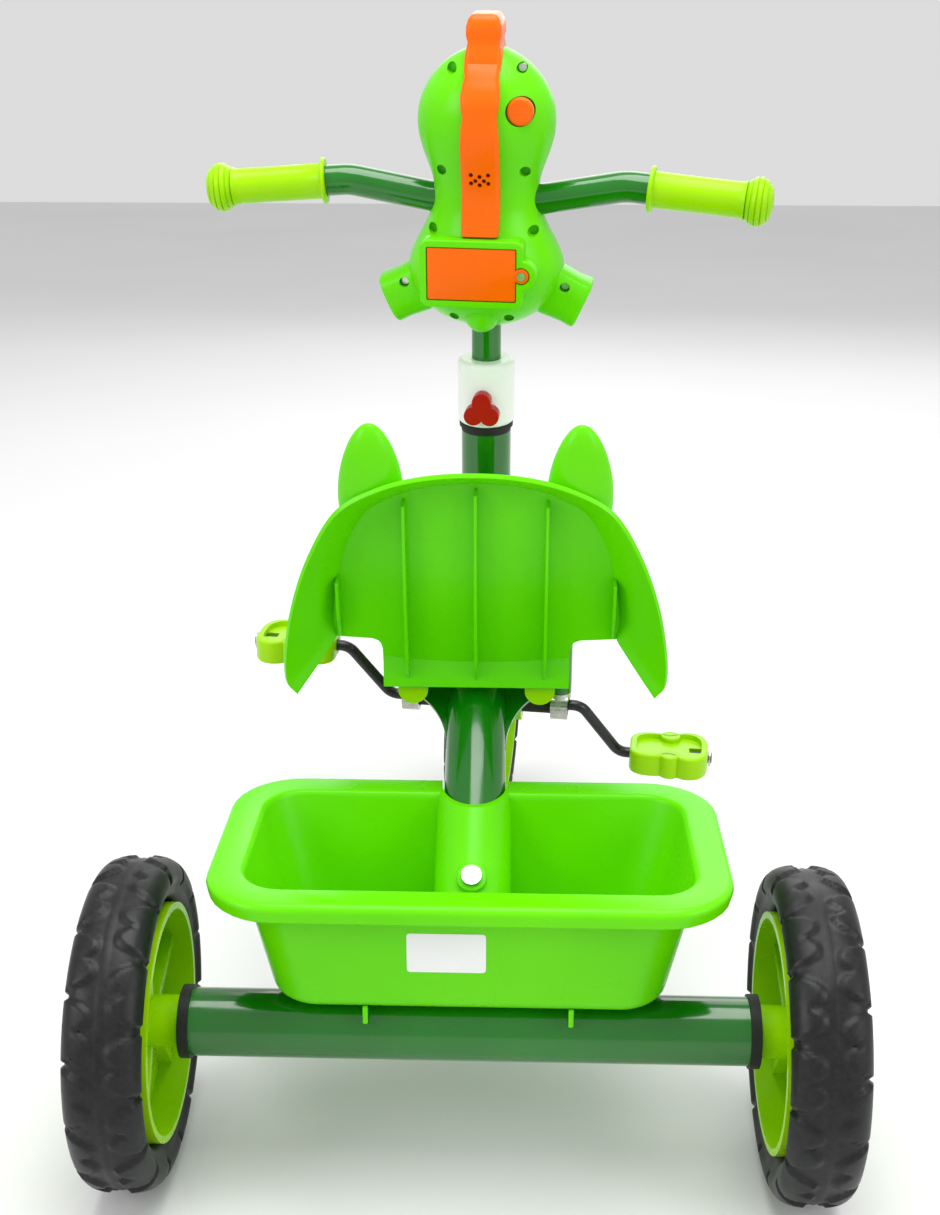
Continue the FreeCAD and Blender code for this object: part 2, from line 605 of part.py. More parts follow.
def frame_parts():
    """Welded frame tubes, gussets, seat rails with their plugs, and the head bushes."""
    tube_r = FRAME_TUBE_D / 2
    lower, corner, upper = tube_point(0), tube_point(BEND_Y), head_point(HEAD_JOIN)
    axle_tube_r = AXLE_TUBE_D / 2
    axle_half = V(AXLE_TUBE_HALF, 0, 0)
    axle_room = rod(axle_tube_r, REAR_AXLE - axle_half, REAR_AXLE + axle_half)
    axle_tube = pipe(AXLE_TUBE_D, FRAME_TUBE_WALL, REAR_AXLE - axle_half, REAR_AXLE + axle_half)
    head_low, head_high = head_point(HEAD_BOTTOM), head_point(HEAD_TOP)
    head_room = rod(tube_r, head_point(HEAD_BOTTOM - tube_r), head_high)
    main_solid = bent_rod([lower, corner, upper], MAIN_BEND_R, tube_r)
    main_tube = bent_tube([lower, corner, upper], MAIN_BEND_R, FRAME_TUBE_D, FRAME_TUBE_WALL)
    main_tube = max(main_tube.cut(axle_room).cut(head_room).Solids, key=lambda s: s.Volume)

    rail_start = V(RAIL_X, from_rear(RAIL_REAR), RAIL_Z)
    rail_end = V(RAIL_X, from_rear(RAIL_FRONT), RAIL_Z)
    rail = pipe(RAIL_D, RAIL_WALL, rail_start, rail_end)
    rail_room = rod(RAIL_D / 2, rail_start, rail_end)
    plug_r = RAIL_D / 2 - RAIL_WALL
    plugs = []
    for end, way in ((rail_start, -1), (rail_end, 1)):
        body = rod(plug_r, end - Y_AXIS * (PLUG_DEPTH * way), end)
        plugs.append(body.fuse(rod(RAIL_D / 2, end, end + Y_AXIS * (PLUG_HEAD * way))))
    screw_holes = [rod(SEAT_SCREW_D / 2, V(RAIL_X, from_rear(y), RAIL_Z - 20),
                       V(RAIL_X, from_rear(y), RAIL_Z + 20)) for y in SEAT_SCREW_Y]
    for hole in screw_holes:
        rail = rail.cut(hole)

    # rear gusset: wings in the plane of the lower run, spreading up to the rails
    angle = math.radians(TUBE_ANGLE)
    ahead = V(0, math.cos(angle), math.sin(angle))
    low_at = tube_point(GUSSET_AT)
    wing_end = low_at + ahead * GUSSET_LENGTH
    wing_half = RAIL_X + RAIL_D / 2
    low_side = V(tube_r, 0, 0)
    along, outwards = GUSSET_CURVE
    mid = low_at + ahead * along + V(tube_r + outwards, 0, 0)
    high_out = low_at + ahead * GUSSET_SPREAD_AT + V(wing_half, 0, 0)
    edges = [Part.LineSegment(low_at, low_at + low_side).toShape(),
             Part.Arc(low_at + low_side, mid, high_out).toShape(),
             Part.LineSegment(high_out, wing_end + V(wing_half, 0, 0)).toShape(),
             Part.LineSegment(wing_end + V(wing_half, 0, 0), wing_end).toShape(),
             Part.LineSegment(wing_end, low_at).toShape()]
    across = V(0, -math.sin(angle), math.cos(angle)) * GUSSET_THICKNESS
    wing = Part.Face(Part.Wire(edges)).extrude(across)
    wing = wing.cut(main_solid).cut(rail_room)
    wing = max(wing.Solids, key=lambda s: s.Volume)
    strap = box((0, from_rear(STRAP_REAR), RAIL_Z - STRAP_THICKNESS / 2),
                (RAIL_X, from_rear(RAIL_FRONT), RAIL_Z + STRAP_THICKNESS / 2))
    strap = strap.cut(main_solid).cut(rail_room)

    bushes = []
    wall_inner = tube_r - FRAME_TUBE_WALL
    bore = rod(STEERER_D / 2 + RUNNING_CLEARANCE, head_point(0), head_point(HEAD_TOP + 30))
    for end, way in ((HEAD_BOTTOM, 1), (HEAD_TOP, -1)):
        inside = rod(wall_inner, head_point(end), head_point(end + HEAD_BUSH_DEPTH * way))
        flange = rod(tube_r, head_point(end), head_point(end - HEAD_FLANGE * way))
        bushes.append(inside.fuse(flange).cut(bore))
    basket_hole = basket_screw_room(KNOB_BOLT_D / 2)
    return {
        "main_tube": main_tube.cut(basket_hole),
        "rear_axle_tube": axle_tube,
        "head_tube": rod(tube_r, head_low, head_high).cut(rod(wall_inner, head_low, head_high)),
        "gusset_plates": pair(wing),
        "front_straps": pair(strap),
        "right_seat_rail": rail,
        "left_seat_rail": mirrored(rail),
        "rail_plugs": Part.makeCompound(plugs + [mirrored(plug) for plug in plugs]),
        "lower_head_bush": bushes[0],
        "upper_head_bush": bushes[1],
    }


# ---------------------------------------------------------------- seat
def seat_frame(shape):
    """From the seat back's own plane (x, depth to the rear, height) to the tricycle."""
    placed = shape.copy()
    placed.rotate(V(0, 0, 0), X_AXIS, SEAT_LEAN)
    placed.translate(V(0, from_rear(SEAT_CREASE_Y), SEAT_CREASE_Z))
    return placed


def back_outline(margin, y, bottom=-4.0):
    """Outline of the seat back, moved inwards by a margin, in the plane at depth y."""
    half = SEAT_BACK_HALF - margin
    top = SEAT_BACK_HEIGHT - margin
    tip = V(half * 0.96, y, -28 + margin)
    cut_top = V(SEAT_TONGUE_HALF + 20, y, bottom + 1.0)
    inner = V(SEAT_TONGUE_HALF + 6, y, bottom)
    points = [V(0, y, top), V(half * 0.5, y, top * 0.91), V(half * 0.86, y, top * 0.54),
              V(half, y, 0)]
    curve = Part.BSplineCurve()
    curve.interpolate(points, InitialTangent=V(80, 0, 0), FinalTangent=V(2, 0, -60))
    right = [curve.toShape(), Part.LineSegment(points[-1], tip).toShape(),
             Part.LineSegment(tip, cut_top).toShape(), Part.LineSegment(cut_top, inner).toShape(),
             Part.LineSegment(inner, V(0, y, bottom)).toShape()]
    wire = Part.Wire(right)
    closed = Part.Wire(Part.__sortEdges__(right + [e.mirror(V(0, 0, 0), X_AXIS) for e in wire.Edges]))
    return closed


def seat_shell():
    """One moulded shell: dished back with a rear flange, ribs, ears, pan and skirt."""
    slope = 16.0
    front = back_outline(slope, 0)
    rear = back_outline(0, -SEAT_FLANGE)
    block = Part.makeLoft([front, rear], True, True)
    hollow = Part.makeLoft([back_outline(slope + SEAT_WALL, -SEAT_WALL, -4.5),
                            back_outline(SEAT_WALL, -SEAT_FLANGE - 0.01, -4.5)], True, True)
    back = block.cut(hollow)
    for x in SEAT_RIBS:
        rib = box((x - SEAT_RIB / 2, -16, 4), (x + SEAT_RIB / 2, 0, SEAT_BACK_HEIGHT))
        back = back.fuse(rib.common(block))
    for side in (-1, 1):
        ear = ellipsoid(EAR_R, EAR_DEPTH, SEAT_BACK_HEIGHT + EAR_RISE - EAR_LEVEL,
                        V(side * EAR_X, -EAR_DEPTH, EAR_LEVEL))
        outer_cut = box((-200, -SEAT_FLANGE - 1, 60), (200, 30, 300))
        back = back.fuse(ear.common(outer_cut).cut(block))
    back = seat_frame(back)

    # pan: a tray open underneath, rising a little to the front
    rear_y, front_y = from_rear(SEAT_CREASE_Y - 2), from_rear(SEAT_PAN_FRONT)
    top_rear, top_front = SEAT_CREASE_Z + 2, SEAT_CREASE_Z + 2 + SEAT_PAN_RISE
    skirt_z = RAIL_Z + 4

    def tray(inset, lift):
        side = [V(0, rear_y + inset, skirt_z - 50 * lift), V(0, front_y - inset, skirt_z - 50 * lift),
                V(0, front_y - inset, top_front - inset), V(0, rear_y + inset, top_rear - inset)]
        face = Part.Face(Part.makePolygon(side + [side[0]]))
        half = SEAT_PAN_HALF - inset
        solid = face.extrude(V(2 * half, 0, 0))
        solid.translate(V(-half, 0, 0))
        upright = [e for e in solid.Edges if abs(e.tangentAt(e.FirstParameter).z) > 0.99]
        return solid.makeFillet(30.0 - inset, upright)

    pan = tray(0, 0).cut(tray(SEAT_WALL, 1))
    side_cut = box((SEAT_TONGUE_HALF, rear_y - 5, 0), (SEAT_PAN_HALF + 5, front_y - 40, SEAT_CREASE_Z - 12))
    pan = pan.cut(side_cut).cut(mirrored(side_cut))
    for x in (-RAIL_X, RAIL_X):
        notch = rod(RAIL_D / 2 + 1.0, V(x, rear_y - 20, RAIL_Z), V(x, front_y + 20, RAIL_Z))
        pan = pan.cut(notch)
    tube_room = bent_rod([tube_point(0), tube_point(BEND_Y), head_point(HEAD_JOIN)], MAIN_BEND_R,
                         FRAME_TUBE_D / 2 + 1.5)
    pan = pan.cut(tube_room)
    seat = back.fuse(pan)
    for y in SEAT_SCREW_Y:
        for x in (-RAIL_X, RAIL_X):
            at = V(x, from_rear(y), RAIL_Z)
            boss = rod(SEAT_BOSS_R, at + Z_AXIS * (RAIL_D / 2 - 1.5), at + Z_AXIS * 60).common(tray(0, 0.2))
            rail_room = rod(RAIL_D / 2, at - Y_AXIS * 20, at + Y_AXIS * 20)
            screw_room = rod(SEAT_SCREW_D / 2, at, at + Z_AXIS * 32)
            seat = seat.fuse(boss.cut(rail_room)).cut(screw_room)
    return seat


def seat_screws():
    """Four screws up through the rails into the seat's bosses."""
    screws = []
    for y in SEAT_SCREW_Y:
        for x in (-RAIL_X, RAIL_X):
            at = V(x, from_rear(y), RAIL_Z)
            foot = -RAIL_D / 2
            shank = rod(SEAT_SCREW_D / 2, at + Z_AXIS * foot, at + Z_AXIS * 30)
            head = rod(5.5, at + Z_AXIS * (foot - 3.5), at + Z_AXIS * foot)
            screws.append(shank.fuse(head))
    return Part.makeCompound(screws)


# ---------------------------------------------------------------- basket
def basket_screw_at():
    """Where the basket's screw enters the main tube, and its direction upwards."""
    angle = math.radians(TUBE_ANGLE)
    out = V(0, -math.sin(angle), math.cos(angle))
    return tube_point(BASKET_SCREW_AT) + out * (FRAME_TUBE_D / 2), out


def basket_screw_room(radius):
    """Hole for the basket's screw through the tube's upper wall and the channel."""
    at, out = basket_screw_at()
    return rod(radius, at - out * 12, at + out * 14)


def basket_block(inset, raise_floor):
    """Tapered tub with rounded corners, between floor and rim."""
    low_z = BASKET_BOTTOM_Z + raise_floor
    wires = []
    for level in (0.0, 1.0):
        half_x = BASKET_HALF_BOTTOM + BASKET_TAPER_X * level - inset
        rear = from_rear(BASKET_REAR - BASKET_TAPER_Y * level) + inset
        front = from_rear(BASKET_REAR + BASKET_DEPTH_BOTTOM + 3 * BASKET_TAPER_Y * level) - inset
        z = low_z + (BASKET_RIM_Z - BASKET_BOTTOM_Z - raise_floor + (1 if inset else 0)) * level
        wires.append(rounded_rectangle(half_x, rear, front, BASKET_CORNER - inset, z))
    return Part.makeLoft(wires, True, True)


def rounded_rectangle(half_x, rear, front, corner, z):
    """Closed wire with quarter-round corners."""
    flat = box((-half_x, rear, z), (half_x, front, z + 1))
    upright = [e for e in flat.Edges if abs(e.tangentAt(e.FirstParameter).z) > 0.99]
    slab = flat.makeFillet(corner, upright)
    face = min(slab.Faces, key=lambda f: f.CenterOfMass.z)
    return face.OuterWire


def channel(radius):
    """Room over the main tube: a round ridge with straight sides below it."""
    start, end = tube_point(-40), tube_point(BEND_Y + 40)
    ridge = rod(radius, start, end)
    side = Part.Face(Part.makePolygon([start, end, end - Z_AXIS * 200, start - Z_AXIS * 200, start]))
    slab = side.extrude(V(2 * radius, 0, 0))
    slab.translate(V(-radius, 0, 0))
    return ridge.fuse(slab)


def basket():
    """Moulded tub with a rolled rim and a ridge that clears the main tube."""
    outer = basket_block(0, 0)
    tub = outer.cut(basket_block(BASKET_WALL, BASKET_WALL))
    half_x = BASKET_HALF_TOP
    rear = from_rear(BASKET_REAR - BASKET_TAPER_Y)
    front = from_rear(BASKET_REAR + BASKET_DEPTH_BOTTOM + 3 * BASKET_TAPER_Y)
    corner = BASKET_CORNER
    grow = BASKET_RIM_WIDTH
    top = rounded_block((-half_x - grow, rear - grow, BASKET_RIM_Z - BASKET_RIM_DROP),
                        (half_x + grow, front + grow, BASKET_RIM_Z), corner + grow - 4)
    top = top.makeFillet(5.0, [e for e in top.Edges if e.BoundBox.ZMin > BASKET_RIM_Z - 0.01])
    under = rounded_block((-half_x - grow + BASKET_WALL, rear - grow + BASKET_WALL, 0),
                          (half_x + grow - BASKET_WALL, front + grow - BASKET_WALL,
                           BASKET_RIM_Z - BASKET_WALL), corner + grow - 4 - BASKET_WALL)
    inside = basket_block(BASKET_WALL, BASKET_WALL)
    lip = top.cut(under).cut(inside)
    shape = tub.fuse(lip)
    inner_r = FRAME_TUBE_D / 2 + CHANNEL_CLEARANCE
    hood = channel(inner_r + BASKET_WALL).common(outer)
    shape = shape.fuse(hood).cut(channel(inner_r))
    shape = max(shape.Solids, key=lambda s: s.Volume)
    at, out = basket_screw_at()
    boss = rod(BASKET_BOSS_R, at + out * 0.2, at + out * BASKET_BOSS_HEIGHT)
    shape = shape.fuse(boss)
    for x in (-BASKET_TAB_X, BASKET_TAB_X):
        tab = box((x - BASKET_TAB_WALL / 2, from_rear(BASKET_REAR), BASKET_BOTTOM_Z - BASKET_TAB_DROP),
                  (x + BASKET_TAB_WALL / 2, from_rear(BASKET_REAR) + BASKET_WALL, BASKET_BOTTOM_Z + 2))
        shape = shape.fuse(tab)
    return shape.cut(basket_screw_room(KNOB_BOLT_D / 2))


def basket_screw():
    """Screw down through the basket's boss into the main tube."""
    at, out = basket_screw_at()
    head_r, head_height = BASKET_SCREW_HEAD
    head_at = at + out * BASKET_BOSS_HEIGHT
    shank = rod(KNOB_BOLT_D / 2, at - out * 9, head_at)
    return shank.fuse(rod(head_r, head_at, head_at + out * head_height))


# ---------------------------------------------------------------- figure on the bar
def figure_room(inset):
    """Outer shape of the figure, or its hollow when moved inwards."""
    pole = FIGURE_POLE_R - inset / 2
    low, high = V(pole, 0, FIGURE_BOTTOM + inset), V(pole, 0, FIGURE_TOP - inset)
    outline = [low] + [V(radius - inset, 0, level) for level, radius in FIGURE_OUTLINE] + [high]
    curve = Part.BSplineCurve()
    curve.interpolate(outline, InitialTangent=V(60, 0, 0), FinalTangent=V(-60, 0, 0))
    axis_low, axis_high = V(0, 0, low.z), V(0, 0, high.z)
    edges = [curve.toShape(), Part.LineSegment(high, axis_high).toShape(),
             Part.LineSegment(axis_high, axis_low).toShape(), Part.LineSegment(axis_low, low).toShape()]
    solid = Part.Face(Part.Wire(edges)).revolve(V(0, 0, 0), Z_AXIS, 360)
    flatten = FreeCAD.Matrix()
    flatten.scale(1.0, FIGURE_FLATNESS, 1.0)
    solid = solid.transformGeometry(flatten)
    solid.translate(V(0, 0, BAR_LEVEL))
    for side in (-1, 1):
        arm = Part.makeCone(ARM_ROOT_R - inset, ARM_TIP_R - inset, ARM_LENGTH - inset,
                            V(0, 0, 0), V(side, 0, -ARM_DROP))
        arm.translate(V(side * ARM_FROM, 0, BAR_LEVEL + ARM_LEVEL))
        solid = solid.fuse(arm)
    return solid


def half_space(side):
    """Big block in front of (1) or behind (-1) the plane through the bar."""
    if side > 0:
        return box((-200, 0, 200), (200, 200, 700))
    return box((-200, -200, 200), (200, 0, 700))


def rear_surface_at(x, level):
    """Depth of the figure's rear surface at a place on the head or body."""
    if abs(x) > ARM_SCREW_FROM:
        return ARM_DEPTH
    rows = FIGURE_OUTLINE
    radius = rows[0][1]
    for (low, low_r), (high, high_r) in zip(rows, rows[1:]):
        if low <= level <= high:
            radius = low_r + (high_r - low_r) * (level - low) / (high - low)
    if level > rows[-1][0]:
        radius = rows[-1][1]
    return FIGURE_FLATNESS * math.sqrt(max(radius ** 2 - x ** 2, 20.0))


def crest_block(half):
    """Band of one width whose outer edge stands proud of the figure's back."""
    rows = [row for row in FIGURE_OUTLINE if row[0] > CREST_BOTTOM]
    outer = [V(-half, -FIGURE_FLATNESS * radius - CREST_PROUD, BAR_LEVEL + level)
             for level, radius in rows]
    foot = V(-half, -CREST_FOOT_DEPTH, BAR_LEVEL + CREST_BOTTOM)
    horn_foot = V(-half, -CREST_HORN_DEPTH, BAR_LEVEL + FIGURE_TOP - 4)
    horn_top = V(-half, -CREST_HORN_DEPTH + 4, BAR_LEVEL + CREST_TOP)
    front_top = V(-half, CREST_FRONT_DEPTH - 6, BAR_LEVEL + CREST_TOP)
    front_foot = V(-half, CREST_FRONT_DEPTH, BAR_LEVEL + FIGURE_TOP - 8)
    curve = Part.BSplineCurve()
    curve.interpolate([foot] + outer + [horn_foot])
    corners = [horn_foot, horn_top, front_top, front_foot, V(-half, 0, BAR_LEVEL + 60),
               V(-half, -14, BAR_LEVEL + 30), V(-half, -14, BAR_LEVEL + CREST_BOTTOM), foot]
    edges = [Part.LineSegment(a, b).toShape() for a, b in zip(corners, corners[1:])]
    face = Part.Face(Part.Wire([curve.toShape()] + edges))
    return face.extrude(V(2 * half, 0, 0))


SCREW_PLACES = ((-22.0, 92.0), (26.0, 92.0), (-29.0, 24.0), (30.0, 24.0), (-36.0, -18.0),
                (36.0, -18.0), (-59.0, -60.0), (59.0, -60.0), (-20.0, -80.0), (20.0, -80.0))


def figure_parts():
    """Two shells closed round the bar, with crest, door, button, speaker and cells."""
    level = BAR_LEVEL
    solid = figure_room(0)
    hollow = figure_room(FIGURE_WALL)
    points = bar_points()
    stem_room = rod(BAR_D / 2, V(0, 0, STEM_BOTTOM), V(0, 0, level))
    bar_room = bent_rod(points, BAR_BEND_R, BAR_D / 2)
    rear = solid.common(half_space(-1)).cut(hollow).cut(stem_room).cut(bar_room)
    front = solid.common(half_space(1)).cut(hollow).cut(stem_room).cut(bar_room)

    # eyes and snout on the front shell
    snout = ellipsoid(26, 20, 17, V(0, 37, level + SNOUT_LEVEL))
    front = front.fuse(snout.cut(solid))

    # crest along the middle of the back and over the head
    half = CREST_WIDTH / 2
    crest = crest_block(half).cut(solid)
    crest = max(crest.Solids, key=lambda s: s.Volume)
    holes = []
    for x in (-6, 0, 6):
        for z in (-3, 3):
            at = V(x, 0, level + SPEAKER_LEVEL + z)
            holes.append(rod(1.3, at, at - V(0, 60, 0)))
    for hole in holes:
        crest = crest.cut(hole)
        rear = rear.cut(hole)

    # battery compartment with its door
    width, height = DOOR_SIZE
    cx, cz = DOOR_CENTRE
    face = -FIGURE_FLATNESS * max(radius for _, radius in FIGURE_OUTLINE) - 1.0
    low = (cx - width / 2, cz + level - height / 2)
    high = (cx + width / 2, cz + level + height / 2)
    frame_block = box((low[0] - DOOR_FRAME, face, low[1] - DOOR_FRAME),
                      (high[0] + DOOR_LUG, face + 9, high[1] + DOOR_FRAME))
    frame_block = frame_block.cut(hollow)
    rear = rear.fuse(frame_block)
    door_room = box((low[0], face - 1, low[1]), (high[0], face + 30, high[1]))
    tab_at = V(high[0] + 3.5, 0, level + cz)
    tab_room = rod(6.0, tab_at + V(0, face - 1, 0), tab_at + V(0, face + DOOR_THICKNESS + 0.5, 0))
    rear = rear.cut(door_room).cut(tab_room)
    gap = DOOR_GAP
    door = box((low[0] + gap, face + 0.2, low[1] + gap),
               (high[0] - gap, face + 0.2 + DOOR_THICKNESS, high[1] - gap))
    tab = rod(6.0 - gap, tab_at + V(0, face + 0.2, 0), tab_at + V(0, face + 0.2 + DOOR_THICKNESS, 0))
    screw_r = 1.5
    screw_start = tab_at + V(0, face - 0.6, 0)
    door_screw = rod(3.0, screw_start, screw_start + V(0, 1.8, 0))
    door_screw = door_screw.fuse(rod(screw_r, screw_start, screw_start + V(0, 10, 0)))
    door = door.fuse(tab).cut(door_screw)
    boss = rod(4.5, tab_at + V(0, face + DOOR_THICKNESS + 0.5, 0), tab_at + V(0, face + 16, 0))
    boss_bore = rod(screw_r + 0.6, tab_at + V(0, face, 0), tab_at + V(0, face + 20, 0))
    rear = rear.cut(boss).fuse(boss).cut(boss_bore)
    tray_depth = 20.0
    tray = box((low[0] + 0.1, face + DOOR_THICKNESS + 0.6, low[1] + 0.1),
               (high[0] - 0.1, face + tray_depth, high[1] - 0.1))
    tray_hollow = box((low[0] + 1.6, face, low[1] + 1.6),
                      (high[0] - 1.6, face + tray_depth - 1.5, high[1] - 1.6))
    tray = tray.cut(tray_hollow)
    cells = []
    for side in (-1, 1):
        at = V(cx, face + DOOR_THICKNESS + 1.2 + BATTERY_D / 2, level + cz + side * (BATTERY_D / 2 + 0.8))
        cell = rod(BATTERY_D / 2, at - V(BATTERY_LENGTH / 2, 0, 0), at + V(BATTERY_LENGTH / 2 - 1, 0, 0))
        cells.append(cell.fuse(rod(2.6, at, at + V(side * BATTERY_LENGTH / 2, 0, 0))))

    # screw wells, bosses and screws that pull the shells together
    screws = []
    for x, z in SCREW_PLACES:
        at = V(x, 0, level + z)
        deep = rear_surface_at(x, z)
        well = rod(5.5, at - V(0, deep + 12, 0), at - V(0, 6, 0))
        well_hollow = rod(4.0, at - V(0, deep + 14, 0), at - V(0, 8, 0))
        boss = rod(4.0, at, at + V(0, deep, 0))
        hole = rod(1.5, at - V(0, 20, 0), at + V(0, 12, 0))
        rear = rear.cut(well_hollow).fuse(well.common(solid).cut(well_hollow)).cut(hole)
        front = front.fuse(boss.common(solid)).cut(hole)
        shank = rod(1.5, at - V(0, 8, 0), at + V(0, 10, 0))
        screws.append(shank.fuse(rod(2.8, at - V(0, 10.2, 0), at - V(0, 8, 0))))

    # music button with its switch, and the speaker behind the crest
    button_at = V(BUTTON_X, 0, level + BUTTON_LEVEL)
    skin = rear_surface_at(BUTTON_X, BUTTON_LEVEL)
    button_room = rod(BUTTON_R + LOOSE_CLEARANCE, button_at - V(0, skin + 20, 0), button_at - V(0, 14, 0))
    rear = rear.cut(button_room)
    button = rod(BUTTON_R, button_at - V(0, skin + 3.0, 0), button_at - V(0, skin - 6, 0))
    button = button.makeFillet(2.0, [button.Edges[2]])
    stalk = rod(3.0, button_at - V(0, skin - 6, 0), button_at - V(0, 12.0 + BUTTON_TRAVEL, 0))
    board = box((BUTTON_X - 22, -8.4, level + BUTTON_LEVEL - 16), (BUTTON_X + 8, -6.8, level + BUTTON_LEVEL + 14))
    switch = box((BUTTON_X - 3, -11.5, level + BUTTON_LEVEL - 3), (BUTTON_X + 3, -8.4, level + BUTTON_LEVEL + 3))
    speaker_at = V(0, -16.0, level + SPEAKER_LEVEL)
    speaker = rod(SPEAKER_R, speaker_at, speaker_at - V(0, 3, 0))
    speaker = speaker.fuse(Part.makeCone(7.0, SPEAKER_R - 2, 5, speaker_at + V(0, 5, 0), V(0, -1, 0)))
    ball = Part.makeSphere(12.5, V(0, -27.0, level - 79))
    rear = rear.fuse(ball.cut(solid).cut(stem_room))
    rear = max(rear.Solids, key=lambda s: s.Volume)
    front = max(front.Solids, key=lambda s: s.Volume)
    rear = rear.cut(tray)
    parts = {
        "figure_rear_shell": rear,
        "figure_front_shell": front,
        "crest": crest,
        "battery_door": door,
        "door_screw": door_screw,
        "battery_tray": tray,
        "battery_cells": Part.makeCompound(cells),
        "figure_screws": Part.makeCompound(screws),
        "music_button": button.fuse(stalk),
        "circuit_board": board.fuse(switch),
        "speaker": speaker,
    }
    return {name: steered(shape) for name, shape in parts.items()}


# ---------------------------------------------------------------- all parts
def all_parts():
    """Every node of the tricycle by name."""
    nodes = {}
    for name, shape in rear_wheel_parts().items():
        nodes["right_" + name] = shape
        nodes["left_" + name] = mirrored(shape)
    for group in (axle_parts, front_wheel_parts, fork_parts, handlebar_parts, frame_parts, figure_parts):
        nodes.update(group())
    nodes["seat"] = seat_shell()
    nodes["seat_screws"] = seat_screws()
    nodes["basket"] = basket()
    nodes["basket_screw"] = basket_screw()
    return nodes


os.makedirs("parts", exist_ok=True)
for node_name, node_shape in all_parts().items():
    node_shape.exportStep(f"parts/{node_name}.step")
    print(node_name, node_shape.isValid(), len(node_shape.Solids), round(node_shape.Volume))
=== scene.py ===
# %% [markdown]
# # A children's tricycle, finished in Blender
# The tricycle is a welded steel frame with moulded plastic on it.  Its tubes, axles, screws and
# bearings already have their true shape and place, so they are loaded as a fixed frame and only
# get a finish here.  What a mould gives a soft outline (seat, basket, tyres, pedals, grips and the
# little figure on the handlebar) is modelled again, each inside the room of the part it stands for.

# %% Load the fixed frame
import json
import math

import bmesh
import bpy
from mathutils import Matrix, Vector


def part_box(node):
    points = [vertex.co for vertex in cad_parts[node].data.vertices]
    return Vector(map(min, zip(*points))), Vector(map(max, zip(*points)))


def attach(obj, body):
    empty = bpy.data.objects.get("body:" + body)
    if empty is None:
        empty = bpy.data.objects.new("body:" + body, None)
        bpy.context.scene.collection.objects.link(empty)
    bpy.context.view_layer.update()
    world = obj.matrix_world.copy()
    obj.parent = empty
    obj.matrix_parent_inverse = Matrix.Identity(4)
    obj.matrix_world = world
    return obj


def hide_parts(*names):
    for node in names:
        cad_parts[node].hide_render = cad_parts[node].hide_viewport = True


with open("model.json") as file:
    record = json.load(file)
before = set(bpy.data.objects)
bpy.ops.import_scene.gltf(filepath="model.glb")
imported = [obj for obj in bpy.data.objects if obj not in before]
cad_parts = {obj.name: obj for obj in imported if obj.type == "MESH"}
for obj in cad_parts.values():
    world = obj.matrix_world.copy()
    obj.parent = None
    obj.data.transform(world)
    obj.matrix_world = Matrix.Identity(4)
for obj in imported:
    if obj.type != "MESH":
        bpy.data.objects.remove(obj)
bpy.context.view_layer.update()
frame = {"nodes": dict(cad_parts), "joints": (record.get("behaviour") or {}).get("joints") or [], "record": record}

# %% [markdown]
# ## Places that everything is measured from
# The steering assembly leans back and stands a little to the right.  It is easiest to model such a
# piece upright, with the front axle at the origin, and to lay it over at the end.  The steering
# joint and the wheel's own joint give both turns, so no angle is written down twice.

# %% Axles and the steering matrix
joints = {joint["name"]: joint for joint in frame["joints"]}
MM = 0.001
front_axle = Vector(joints["front_wheel_turn"]["pos_m"])
rear_axle_y = joints["right_rear_wheel_turn"]["pos_m"][1]
rear_axle_z = joints["right_rear_wheel_turn"]["pos_m"][2]
steer_up = Vector(joints["steering"]["axis"]).normalized()
steer_right = Vector(joints["front_wheel_turn"]["axis"]).normalized()
steer_forward = steer_up.cross(steer_right)
steering = Matrix.Translation(front_axle) @ Matrix(
    (steer_right, steer_forward, steer_up)).transposed().to_4x4()


def upright_points(name):
    """A frame node's points in the upright place of the steering assembly."""
    return [steering.inverted() @ v.co for v in frame["nodes"][name].data.vertices]


print("front axle", front_axle, "head leans", steer_up)

# %% [markdown]
# ## Small tools of the workshop
# Every piece goes the same way: add a primitive, shape it in edit mode, apply its modifiers, lay it
# in place and hand it to the body that carries it.  The helpers below keep those steps to one line.

# %% Selecting, editing and applying
def deselect():
    """Leave nothing selected and nothing in edit mode."""
    if bpy.context.object and bpy.context.object.mode != "OBJECT":
        bpy.ops.object.mode_set(mode="OBJECT")
    bpy.ops.object.select_all(action="DESELECT")


def activate(piece):
    """Select one piece alone."""
    deselect()
    piece.select_set(True)
    bpy.context.view_layer.objects.active = piece
    return piece


def edit(piece, domain="VERT"):
    """Open a piece in edit mode with nothing selected."""
    activate(piece)
    bpy.ops.object.mode_set(mode="EDIT")
    bpy.ops.mesh.select_mode(type=domain)
    bpy.ops.mesh.select_all(action="DESELECT")
    return bmesh.from_edit_mesh(piece.data)


def pick(piece, domain, test):
    """Select the vertices, edges or faces whose place or normal passes a test."""
    mesh = edit(piece, domain)
    rows = {"VERT": mesh.verts, "EDGE": mesh.edges, "FACE": mesh.faces}[domain]
    chosen = 0
    for row in rows:
        if test(row):
            row.select_set(True)
            chosen += 1
    mesh.select_flush_mode()
    bmesh.update_edit_mesh(piece.data)
    return chosen


def leave():
    """Back to object mode."""
    bpy.ops.object.mode_set(mode="OBJECT")


def cut(piece, at, normal, **keep):
    """Cut a whole piece by a plane and, where asked, drop one side and close the cut."""
    edit(piece)
    bpy.ops.mesh.select_all(action="SELECT")
    bpy.ops.mesh.bisect(plane_co=at, plane_no=normal, **keep)
    leave()
    return piece


